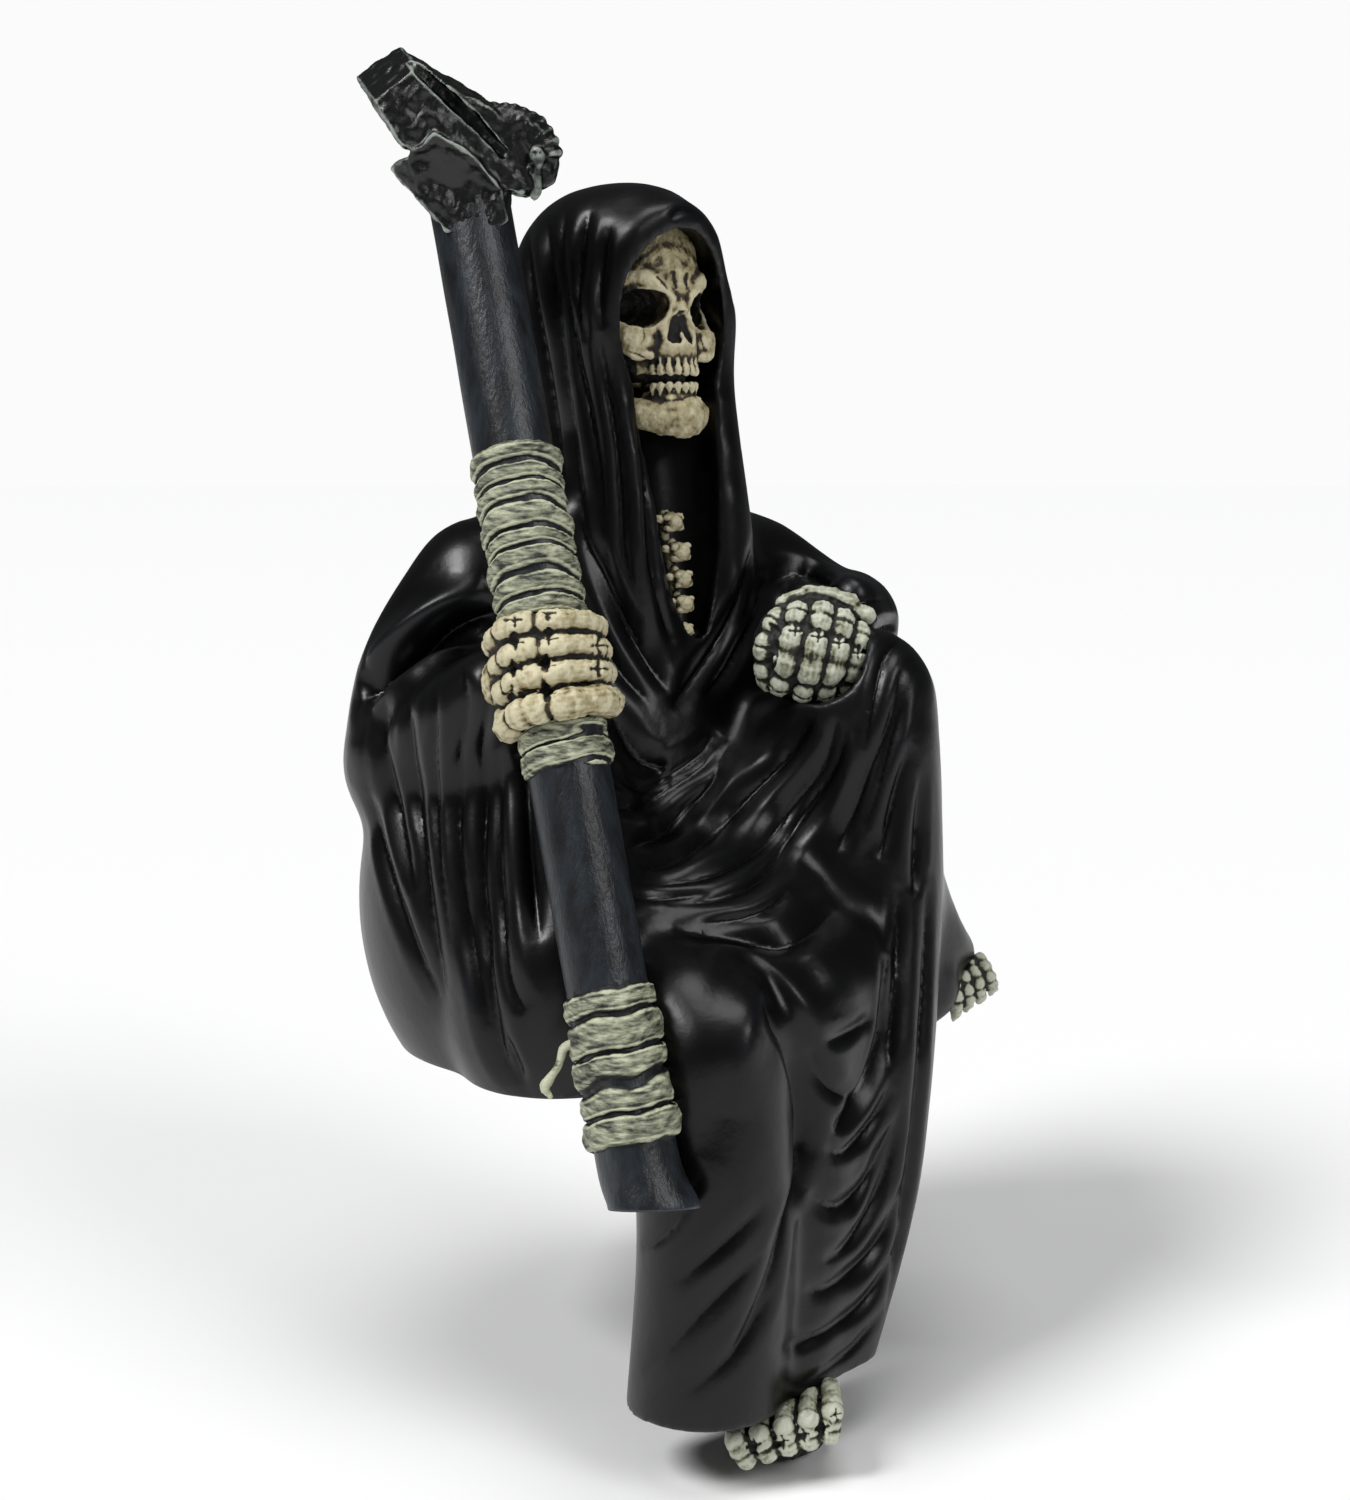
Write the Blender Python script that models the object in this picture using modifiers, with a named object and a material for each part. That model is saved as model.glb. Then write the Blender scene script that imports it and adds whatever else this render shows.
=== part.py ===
"""A grim reaper figurine that sits on the edge of a shelf, cast in one piece of resin.

The figure faces -Y, its left is +X and +Z is up. It is laid out with the shelf's top as the plane
z = 0 and the shelf's front face as the plane y = 0, so the flat underside of the seat lies at z = 0 and
the flat back of the hanging leg at y = 0. The last step moves it so that the origin is the middle of
the seat's underside. Free forms are kept in shares of the figure's height, 222 shares from the lowest
toe to the crest of the scythe. Sizes of made parts, such as the shaft, have their own values.
"""

import math

import bmesh
import bpy
import numpy as np
from mathutils import Matrix, Vector
from mathutils.bvhtree import BVHTree

# Driving sizes in metres
FIGURE_HEIGHT = 0.222
SHAFT_DIAMETER = 0.0127
WRAP_THICKNESS = 0.0007
BAND_EDGE_RADIUS = 0.0006
FINGER_DIAMETER = 0.0039
FINGER_PITCH = 0.00425
HEAD_BAR_THICKNESS = 0.0085
HEAD_BAR_HEIGHT = 0.0100
HEAD_BAR_LENGTH = 0.0280
BLADE_SLOT_WIDTH = 0.0022
BLADE_SLOT_DEPTH = 0.0016

# Counts
SOLID_TRIANGLES = 9500
UPPER_WRAP_BANDS = 8
LOWER_WRAP_BANDS = 5
GRIP_WRAP_BANDS = 2
CREST_RIDGES = 6
FINGERS = 4
GRIP_STEPS = 12
TOES = 5

# One share of the height, and the grain of the two remeshes
SHARE = FIGURE_HEIGHT / 222
BODY_GRAIN = 2.0 * SHARE
ROBE_GRAIN = 1.1 * SHARE
BONE_GRAIN = 0.6 * SHARE
CAST_GRAIN = 0.62 * SHARE

# The middle of the seat's underside, which becomes the origin, in shares
SEAT_MIDDLE = (0.0, 40.0, 0.0)

# Where the shaft's centre line passes, in shares
SHAFT_FOOT = (-49.0, -17.0, -10.5)
SHAFT_TOP = (-36.8, 42.6, 139.5)
HEAD_CENTRE = (-39.5, 42.5, 151.5)
GRIP_CENTRE = (-43.5, 14.0, 68.2)

# How far round the shaft the fingers run, in degrees from the figure's right towards its front
GRIP_START = -50.0
GRIP_END = 165.0

# The drawing view that the folds are laid out in: turned 40 degrees to the figure's right and raised
# a little, 360 shares away, on a sheet 1350 by 1500 with 6 units to a share at the target
VIEW_TURN = math.radians(-40.0)
VIEW_RISE = math.radians(8.5)
VIEW_DISTANCE = 360.0
VIEW_SCALE = 6.0
VIEW_CENTRE = (675.0, 750.0)
VIEW_TARGET = (-12.07, 20.57, 50.55)


def place(point):
    """A point in shares as a vector in metres."""
    return Vector(point) * SHARE


def along(start, end, share):
    """The point at a share of the way from start to end."""
    return tuple(a + (b - a) * share for a, b in zip(start, end))


def add_shell(clay, primitive, **settings):
    """One closed primitive as a mesh of its own, kept in the clay, which is a list of them."""
    mesh = bmesh.new()
    primitive(mesh, **settings)
    data = bpy.data.meshes.new("shell")
    mesh.to_mesh(data)
    mesh.free()
    clay.append(data)


def ball(clay, centre, radii, turn=(0.0, 0.0, 0.0)):
    """An ellipsoid: centre and radii in shares, turned by degrees about X, Y and Z."""
    spin = Matrix.Rotation(math.radians(turn[2]), 4, "Z")
    spin = spin @ Matrix.Rotation(math.radians(turn[1]), 4, "Y")
    spin = spin @ Matrix.Rotation(math.radians(turn[0]), 4, "X")
    size = Matrix.Diagonal((radii[0] * SHARE, radii[1] * SHARE, radii[2] * SHARE, 1.0))
    where = Matrix.Translation(place(centre)) @ spin @ size
    sphere = bmesh.ops.create_uvsphere
    add_shell(clay, sphere, u_segments=28, v_segments=18, radius=1.0, matrix=where)


def rod(clay, start, end, radius_start, radius_end, sides=28):
    """A tapered round bar between two points in metres."""
    axis = end - start
    turn = axis.to_track_quat("Z", "Y").to_matrix().to_4x4()
    add_shell(
        clay,
        bmesh.ops.create_cone,
        cap_ends=True,
        segments=sides,
        radius1=radius_start,
        radius2=radius_end,
        depth=axis.length,
        matrix=Matrix.Translation((start + end) / 2) @ turn,
    )


def limb(clay, points, radii):
    """A round limb through points, with a radius at each, all in shares."""
    for point, radius in zip(points, radii):
        ball(clay, point, (radius, radius, radius))
    for i in range(len(points) - 1):
        rod(clay, place(points[i]), place(points[i + 1]), radii[i] * SHARE, radii[i + 1] * SHARE)


def loft(clay, sections, sides=40):
    """A closed upright body through level ovals, each x, y, z, half width and half depth in shares."""
    rings = smooth_line(sections, 6) * SHARE
    turn = np.linspace(0.0, 2 * np.pi, sides, endpoint=False)
    ring_points = []
    for x, y, z, half_width, half_depth in rings:
        columns = (x + half_width * np.cos(turn), y + half_depth * np.sin(turn), np.full(sides, z))
        ring_points.append(np.stack(columns, axis=-1))
    points = np.concatenate(ring_points)
    last = len(rings) - 1
    faces = [tuple(range(sides))[::-1], tuple(last * sides + k for k in range(sides))]
    for level in range(last):
        for k in range(sides):
            low, low_next = level * sides + k, level * sides + (k + 1) % sides
            faces.append((low, low_next, low_next + sides, low + sides))
    data = bpy.data.meshes.new("shell")
    data.from_pydata(points.tolist(), [], faces)
    clay.append(data)


def box(clay, centre, size, axes):
    """A box of the given size in metres, along three axes, about a centre in metres."""
    frame = Matrix((axes[0], axes[1], axes[2])).transposed().to_4x4()
    where = Matrix.Translation(centre) @ frame @ Matrix.Diagonal((*size, 1.0))
    add_shell(clay, bmesh.ops.create_cube, size=1.0, matrix=where)


def mesh_object(name, clay, collection):
    """The clay's shells joined as one object in a collection."""
    mesh = bmesh.new()
    for shell in clay:
        mesh.from_mesh(shell)
        bpy.data.meshes.remove(shell)
    bmesh.ops.recalc_face_normals(mesh, faces=mesh.faces)
    data = bpy.data.meshes.new(name)
    mesh.to_mesh(data)
    mesh.free()
    thing = bpy.data.objects.new(name, data)
    collection.objects.link(thing)
    return thing


def apply_modifiers(thing):
    """Makes the evaluated mesh the object's own mesh and clears its modifiers."""
    bpy.context.view_layer.update()
    graph = bpy.context.evaluated_depsgraph_get()
    data = bpy.data.meshes.new_from_object(thing.evaluated_get(graph))
    thing.modifiers.clear()
    thing.data = data
    return thing


def fuse(thing, grain, rounds):
    """Joins overlapping shells into one skin and softens its junctions."""
    skin = thing.modifiers.new("one_skin", "REMESH")
    skin.mode = "VOXEL"
    skin.voxel_size = grain
    soft = thing.modifiers.new("soft", "SMOOTH")
    soft.factor = 0.5
    soft.iterations = rounds
    return apply_modifiers(thing)


def cut(thing, cutter):
    """Takes the cutter's volume out of the object."""
    taken = thing.modifiers.new("cut", "BOOLEAN")
    taken.operation = "DIFFERENCE"
    taken.solver = "EXACT"
    taken.object = cutter
    return apply_modifiers(thing)


def coordinates(data, field):
    """The vertices' positions or normals as an array."""
    values = np.empty(len(data.vertices) * 3, np.float32)
    source = data.vertices if field == "co" else data.vertex_normals
    source.foreach_get("co" if field == "co" else "vector", values)
    return values.reshape(-1, 3).astype(np.float64)


def smooth_line(points, steps=12):
    """Points on a smooth curve that passes through the given points."""
    points = np.asarray(points, float)
    if len(points) < 3:
        share = np.linspace(0.0, 1.0, steps + 1)[:, None]
        return points[0] * (1 - share) + points[-1] * share
    padded = np.vstack([2 * points[0] - points[1], points, 2 * points[-1] - points[-2]])
    t = np.linspace(0.0, 1.0, steps, endpoint=False)[:, None]
    pieces = []
    for a, b, c, d in zip(padded[:-3], padded[1:-2], padded[2:-1], padded[3:]):
        bend = 2 * a - 5 * b + 4 * c - d
        twist = -a + 3 * b - 3 * c + d
        pieces.append(0.5 * (2 * b + (c - a) * t + bend * t**2 + twist * t**3))
    return np.vstack(pieces + [points[-1:]])


def view_axes():
    """Right, up and back of the drawing view."""
    back = Vector(
        (
            math.sin(VIEW_TURN) * math.cos(VIEW_RISE),
            -math.cos(VIEW_TURN) * math.cos(VIEW_RISE),
            math.sin(VIEW_RISE),
        )
    )
    right = Vector((math.cos(VIEW_TURN), math.sin(VIEW_TURN), 0.0))
    return right, back.cross(right), back


def sight_line(across, down):
    """From the eye to a point drawn in the view, one share further from the eye for each unit."""
    right, up, back = view_axes()
    sideways = (across - VIEW_CENTRE[0]) / VIEW_SCALE
    upward = (VIEW_CENTRE[1] - down) / VIEW_SCALE
    return (right * sideways + up * upward) / VIEW_DISTANCE - back


def sighted(across, down, distance):
    """The point in shares that is drawn there, at a distance in shares from the eye's plane."""
    eye = Vector(VIEW_TARGET) + view_axes()[2] * VIEW_DISTANCE
    return tuple(eye + sight_line(across, down) * distance)


def drawn_on(tree, points):
    """Points drawn in the view, dropped along their sight lines onto the cloth."""
    eye = place(VIEW_TARGET) + view_axes()[2] * VIEW_DISTANCE * SHARE
    hits = [tree.ray_cast(eye, sight_line(*point).normalized())[0] for point in points]
    return np.array([tuple(hit) for hit in hits if hit is not None])


def family(first, last, count):
    """Evenly changing curves from the first drawn guide to the last; a count is a whole number."""
    first, last = smooth_line(first), smooth_line(last)
    shares = np.linspace(0.0, 1.0, max(2, int(round(count))))
    size = min(len(first), len(last))
    pick_first = np.linspace(0, len(first) - 1, size).astype(int)
    pick_last = np.linspace(0, len(last) - 1, size).astype(int)
    return [first[pick_first] * (1 - s) + last[pick_last] * s for s in shares]


def groove_depth(points, line, width, depth):
    """How far each point sinks: full depth on the line, fading over the width and at both ends."""
    moved = np.zeros(len(points))
    low, high = line.min(axis=0) - 3 * width, line.max(axis=0) + 3 * width
    near = np.flatnonzero(((points > low) & (points < high)).all(axis=1))
    if len(near) == 0:
        return moved
    start, end = line[:-1], line[1:]
    run = end - start
    length = np.maximum((run**2).sum(axis=1), 1e-12)
    gap = points[near][:, None, :] - start[None]
    share = np.clip((gap * run[None]).sum(axis=2) / length[None], 0.0, 1.0)
    distance = np.linalg.norm(gap - share[..., None] * run[None], axis=2)
    closest = distance.argmin(axis=1)
    rows = np.arange(len(near))
    off = distance[rows, closest] / width
    progress = (closest + share[rows, closest]) / len(run)
    taper = np.clip(np.sin(np.pi * np.clip(progress, 0.02, 0.98)), 0.0, 1.0) ** 0.5
    valley = np.exp(-(off**1.5)) - 0.35 * np.exp(-((off - 1.9) ** 2) * 1.6)
    moved[near] = depth * valley * taper
    return moved


def carve(thing, lines):
    """Sinks every fold line into the skin along the skin's own normals."""
    data = thing.data
    points = coordinates(data, "co")
    normals = coordinates(data, "normal")
    sink = np.zeros(len(points))
    for line, width, depth in lines:
        if len(line) > 1:
            sink += groove_depth(points, line, width * SHARE, depth * SHARE)
    limit = 4.5 * SHARE
    sink = limit * np.tanh(sink / limit)
    points -= normals * sink[:, None]
    data.vertices.foreach_set("co", points.astype(np.float32).reshape(-1))
    data.update()


# Folds drawn in the view: first guide, last guide, how many folds, width and depth in shares
HOOD_FOLDS = (
    ([(519, 225), (528, 300), (541, 365), (560, 430)], [(554, 215), (560, 300), (579, 360), (592, 430)], 3),
    ([(574, 400), (582, 470), (592, 530), (612, 585)], [(614, 400), (616, 470), (622, 560), (648, 640)], 3),
)
CAPE_FOLDS = (
    ([(600, 540), (620, 610), (650, 665), (672, 698)], [(646, 470), (654, 560), (668, 630), (684, 672)], 2),
    ([(757, 560), (742, 610), (712, 655), (690, 690)], [(757, 560), (742, 610), (712, 655), (690, 690)], 1),
)
SLEEVE_FOLDS = (
    ([(378, 700), (376, 800), (395, 900), (420, 960)], [(400, 690), (408, 790), (428, 930), (445, 1000)], 3),
    ([(455, 650), (452, 800), (462, 930), (485, 1050)], [(490, 640), (482, 800), (495, 960), (520, 1080)], 2),
    ([(512, 740), (510, 840), (520, 950), (535, 1030)], [(512, 740), (510, 840), (520, 950), (535, 1030)], 1),
)
ELBOW_CREASE = ([(372, 686), (409, 660), (451, 633), (497, 615)], [(372, 686), (409, 660), (451, 633), (497, 615)], 1)
LAP_SWAGS = (
    ([(611, 782), (650, 790), (682, 770), (710, 742)], [(622, 806), (660, 800), (700, 775), (722, 738)], 2),
    ([(627, 850), (680, 815), (712, 776), (735, 730)], [(632, 895), (735, 880), (800, 815), (850, 730)], 4),
)
LAP_EDGE = ([(660, 925), (730, 932), (790, 928), (850, 882)], [(660, 925), (730, 932), (790, 928), (850, 882)], 1)
KNEE_FOLDS = (
    ([(900, 636), (876, 694), (855, 770), (800, 870)], [(912, 660), (893, 760), (876, 830), (850, 890)], 3),
    ([(924, 740), (920, 850), (918, 960), (905, 1100)], [(924, 740), (920, 850), (918, 960), (905, 1100)], 1),
)
SHIN_FOLDS = (
    ([(889, 930), (888, 1020), (866, 1084), (825, 1139)], [(924, 900), (922, 1020), (905, 1150), (860, 1250)], 2),
    ([(791, 1005), (812, 1076), (808, 1154), (815, 1235)], [(770, 985), (800, 1110), (785, 1240), (735, 1350)], 2),
    ([(812, 1195), (838, 1209), (866, 1190), (893, 1135)], [(790, 1350), (830, 1339), (869, 1304), (901, 1245)], 3),
    ([(681, 1276), (712, 1250), (740, 1225), (765, 1200)], [(650, 1366), (690, 1325), (725, 1290), (765, 1255)], 2),
    ([(818, 1043), (838, 1040), (855, 1033), (875, 1018)], [(818, 1043), (838, 1040), (855, 1033), (875, 1018)], 1),
)
# Folds on the back, as guides in shares that are dropped onto the cloth from behind
BACK_FOLDS = (
    ([(-30, 100, 4), (-26, 100, 35), (-22, 100, 70)], [(30, 100, 4), (26, 100, 35), (22, 100, 70)], 6),
    ([(-10, 100, 84), (-9, 100, 104), (-6, 100, 124)], [(10, 100, 84), (9, 100, 104), (6, 100, 124)], 3),
)


# Level ovals of the trunk, the left skirt and the hood, from below upwards: x, y, z, half width and half depth
TRUNK_SECTIONS = (
    (-1, 46, -6, 36, 26),
    (-1, 47, 4, 42.5, 32.5),
    (-3, 48, 20, 45, 34),
    (-3, 50, 36, 43.5, 32),
    (-2, 51, 52, 40.5, 28.5),
    (-1, 52, 66, 37.5, 24.5),
    (0, 52, 78, 35, 20),
    (0, 52, 88, 28, 17),
    (0, 52, 97, 14, 13),
)
LEFT_SKIRT_SECTIONS = (
    (21, 18, -6, 14, 17),
    (21, 17, 2, 15.5, 18),
    (19, 17, 14, 14.5, 17.5),
    (17, 18, 30, 13.5, 17),
    (16, 18, 46, 12, 14),
)
HOOD_SECTIONS = (
    (0, 54, 76, 24, 22),
    (0, 53.5, 88, 20.5, 20.5),
    (0, 52.5, 100, 18, 18.5),
    (0, 52, 112, 18, 18.5),
    (0, 51.5, 124, 18.4, 19.5),
    (0, 51.2, 134, 16.8, 19),
    (0, 50.5, 140.5, 13, 16),
    (0, 50, 144, 8.5, 11.5),
    (0, 49.5, 145.8, 3, 5),
)
# The hood's rim and the edge of the cowl below it: x, y, z and thickness, for the figure's left half
RIM = (
    (0, 33.2, 140.2, 2.2),
    (6.2, 34.4, 138, 2.2),
    (10.8, 36.4, 131.8, 2.3),
    (12.9, 37.4, 124, 2.4),
    (11.7, 37.0, 112, 2.6),
    (10.4, 34.0, 98, 2.9),
    (9.6, 31.6, 84, 3.1),
    (8.2, 30.6, 73, 3.2),
    (4.6, 31.4, 65.5, 3.2),
    (0, 32.0, 61, 3.0),
)
# Directions of the space below the hem
HEM_AXES = (Vector((1.0, 0.0, -0.02)), Vector((0.0, 1.0, -0.05)), Vector((0.02, 0.05, 1.0)))
# Thickness of the cloth behind the rim, from its fourth point to its ninth
RIM_BACKING = (4.0, 4.2, 5.0, 6.0, 6.0, 5.0)


def robe_masses(clay):
    """The cloth-covered body as overlapping rounds: seat, trunk, hood, sleeves, legs and hanging hem."""
    loft(clay, TRUNK_SECTIONS)
    limb(clay, [(-30, 51, 76), (0, 52, 80), (31, 50, 76)], [12.5, 14.5, 12.0])
    # Hood and the cowl that runs down from it to a point on the chest
    loft(clay, HOOD_SECTIONS)
    for side in (-1, 1):
        limb(clay, [(side * x, y, z) for x, y, z, thick in RIM], [thick for x, y, z, thick in RIM])
        limb(clay, [(side * (x * 1.12 + 1), y + 4.5, z) for x, y, z, thick in RIM[3:9]], RIM_BACKING)
    # Right sleeve: upper arm, forearm towards the shaft, and the cloth that falls from it
    limb(clay, [(-30, 51, 77), (-37, 54, 62), (-39, 52, 48)], [12.0, 13.5, 16.0])
    limb(clay, [(-40, 48, 50), (-44, 34, 56), (-45, 24, 62)], [14.0, 11.0, 8.5])
    ball(clay, (-34, 38, 24), (22.5, 31, 36))
    ball(clay, (-37, 21, 14), (18.5, 19, 24))
    # Left arm, laid forward along the thigh to the knee
    limb(clay, [(31, 50, 76), (37, 39, 69), (31, 24, 69)], [12.0, 11.0, 10.0])
    ball(clay, (25, 20, 71), (9.5, 9.5, 8.0), (0, 0, -35))
    # Left thigh raised to the knee, and the cloth that falls from the knee
    limb(clay, [(13, 45, 26), (15, 22, 42), (16, 7, 55)], [15.0, 14.0, 13.0])
    ball(clay, (17, 5, 56), (12.5, 12.5, 15.0))
    limb(clay, [(16.5, 4, 52), (15.5, 1, 26), (8.5, -7, 0)], [12.5, 12.0, 10.0])
    limb(clay, [(8.5, -7, 0), (5.5, -8, -23), (-5.0, -8.5, -50)], [10.0, 8.8, 8.4])
    # Lap between the thighs
    ball(clay, (-8, 19, 21), (30, 25, 17))
    # Right thigh, bent knee and hanging shin
    limb(clay, [(-20, 42, 14), (-29, -3, 10)], [16.0, 14.5])
    ball(clay, (-29.5, -6, 10), (13.5, 13.5, 13.5))
    limb(clay, [(-29.5, -8, 8), (-30.5, -11, -20), (-32, -10, -52)], [13.0, 12.4, 12.6])
    limb(clay, [(-10, -5, 12), (-12, -8, -20), (-17, -9, -52)], [13.0, 10.5, 10.5])
    limb(clay, [(0, -3, 14), (-3, -6.5, -16), (-9, -8.5, -50)], [12.0, 10.0, 9.0])
    # Cloth that falls from the left thigh to the shelf, and over the left foot
    loft(clay, LEFT_SKIRT_SECTIONS)
    limb(clay, [(24, 8, 22), (27, 5, 12), (29, 2.5, 7)], [9.5, 9.0, 7.5])


def hood_hollow(clay):
    """The space inside the hood and down the open front of the cowl."""
    ball(clay, (0, 38, 121.5), (11.8, 12.5, 16.6))
    ball(clay, (0, 30, 121), (10.9, 13, 16.2))
    limb(clay, [(0, 35, 110), (0, 33.5, 96), (0, 32, 82), (0, 31.5, 70)], [9.4, 7.9, 6.6, 3.6])
    limb(clay, [(0, 24, 110), (0, 23, 96), (0, 22, 82), (0, 24, 70)], [9.6, 8.1, 6.8, 3.4])


def skull_forms(clay):
    """Cranium, brow, cheekbones, jaws and chin."""
    ball(clay, (0, 47, 126), (12.0, 15.0, 13.2))
    ball(clay, (0, 39, 118), (9.6, 8.0, 11.0))
    ball(clay, (0, 36.6, 130.5), (9.0, 5.5, 5.5))
    limb(clay, [(-9.6, 36.4, 129.0), (-4.8, 33.0, 128.2), (-0.9, 32.0, 125.6)], [2.0, 2.3, 1.8])
    limb(clay, [(9.6, 36.4, 129.0), (4.8, 33.0, 128.2), (0.9, 32.0, 125.6)], [2.0, 2.3, 1.8])
    limb(clay, [(0, 32.4, 125.0), (0, 31.6, 122.8)], [1.6, 1.4])
    for side in (-1, 1):
        ball(clay, (side * 8.4, 34.8, 118.2), (3.1, 3.2, 2.7))
        limb(clay, [(side * 9.0, 36.0, 118.0), (side * 11.0, 44.0, 119.0)], [2.0, 1.7])
        limb(clay, [(side * 9.4, 46.0, 113.0), (side * 8.2, 40.0, 105.2)], [2.5, 2.7])
        limb(clay, [(side * 8.2, 40.0, 105.2), (side * 3.4, 33.6, 104.6)], [2.7, 2.7])
    ball(clay, (0, 36.0, 114.4), (6.4, 4.8, 4.6))
    ball(clay, (0, 36.6, 108.6), (6.4, 4.8, 4.4))
    ball(clay, (0, 33.6, 104.6), (4.6, 3.0, 2.6))


def skull_hollows(clay):
    """Eye sockets, nose cavity, hollow cheeks and the line between the teeth."""
    for side in (-1, 1):
        ball(clay, (side * 5.2, 32.6, 123.2), (3.9, 4.6, 3.1), (0, side * 14, 0))
        ball(clay, (side * 10.0, 37.5, 112.2), (2.8, 5.6, 3.0))
    ball(clay, (0, 30.6, 118.0), (2.6, 3.6, 1.9))
    ball(clay, (0, 31.0, 120.2), (1.4, 3.0, 2.0))
    ball(clay, (0, 30.2, 111.7), (6.4, 3.4, 0.7))


def gripping_hand(clay):
    """Four fingers round the shaft, one above another, and the back of the hand behind them."""
    foot, axis, side, front = shaft_frame()
    grip = place(GRIP_CENTRE)
    grip = foot + axis * (grip - foot).dot(axis)
    finger = FINGER_DIAMETER / 2
    ring = SHAFT_DIAMETER / 2 + WRAP_THICKNESS + finger * 0.5
    for i in range(FINGERS):
        centre = grip + axis * ((FINGERS - 1) / 2 - i) * FINGER_PITCH
        for k in range(GRIP_STEPS + 1):
            share = k / GRIP_STEPS
            swing = math.radians(GRIP_START + (GRIP_END - GRIP_START) * share)
            spot = centre + (side * math.cos(swing) - front * math.sin(swing)) * ring
            swell = 1.0 + 0.2 * math.cos(share * 4 * math.pi)
            ball(clay, spot / SHARE, (finger / SHARE * swell,) * 3)
    ball(clay, sighted(512, 662, 332), (4.6, 5.4, 8.2))
    limb(clay, [sighted(508, 640, 338), sighted(470, 650, 348)], [5.0, 6.0])


def resting_hand(clay):
    """Four fingers that hang over the knee, a thumb beside them and the back of the hand."""
    radius = FINGER_DIAMETER / 2 / SHARE
    for i in range(FINGERS):
        knuckle = sighted(795 + 21 * i, 604 - 2 * i, 363 - i)
        middle = sighted(787 + 22 * i, 637 - i, 359 - i)
        joint = sighted(782 + 21 * i, 686 - 2 * i, 358 - i)
        tip = sighted(784 + 19 * i, 699 - 3 * i, 360 - i)
        limb(clay, [knuckle, middle, joint, tip], [radius * f for f in (1.0, 0.95, 1.0, 0.8)])
        ball(clay, middle, (radius * 1.12,) * 3)
    thumb = [sighted(785, 615, 366), sighted(766, 650, 364), sighted(775, 685, 362)]
    limb(clay, thumb, [2.6, 2.2, 2.2])
    ball(clay, sighted(828, 628, 369), (8.5, 8.5, 7.5), (0, 0, -40))


def feet(clay):
    """The right foot below the hem, and three left toes over the shelf's edge."""
    for i in range(TOES):
        root = sighted(742 + 22 * i, 1394 - 4 * i, 342)
        joint = sighted(733 + 25 * i, 1432 - 6 * i, 333)
        toe = sighted(748 + 20 * i, 1460 - 6 * i, 334)
        size = 2.5 - 0.12 * i
        limb(clay, [root, joint, toe], [size, size * 1.04, size * 0.86])
    ball(clay, sighted(782, 1405, 345), (9.5, 8.0, 5.5))
    for i in range(3):
        start = sighted(948 + 12 * i, 972 - 7 * i, 385 + i)
        end = sighted(958 + 14 * i, 1006 - 8 * i, 378 + i)
        limb(clay, [start, end], [2.5, 2.2])


def spine_bones(clay):
    """Five vertebrae that show in the open front of the cowl."""
    for height, depth in ((87.7, 37.0), (82.2, 36.4), (78.2, 35.8), (74.0, 35.0), (69.4, 34.0)):
        ball(clay, (0, depth, height), (2.5, 2.6, 1.8))


def shaft_frame():
    """The shaft's foot, its axis and two directions across it, in metres."""
    foot = place(SHAFT_FOOT)
    axis = (place(SHAFT_TOP) - foot).normalized()
    side = Vector((-1.0, 0.0, 0.0))
    side = (side - axis * side.dot(axis)).normalized()
    return foot, axis, side, axis.cross(side)


def head_frame():
    """The bar's direction, its thickness and height directions, and its middle, in metres."""
    foot, axis, side, front = shaft_frame()
    bar = (side * 0.87 + Vector((0.0, 0.0, 1.0)) * 0.49).normalized()
    across = Vector((0.0, 1.0, 0.0))
    across = (across - bar * across.dot(bar)).normalized()
    rise = bar.cross(across)
    if rise.z < 0:
        rise = -rise
    return bar, across, rise, place(HEAD_CENTRE)


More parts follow.
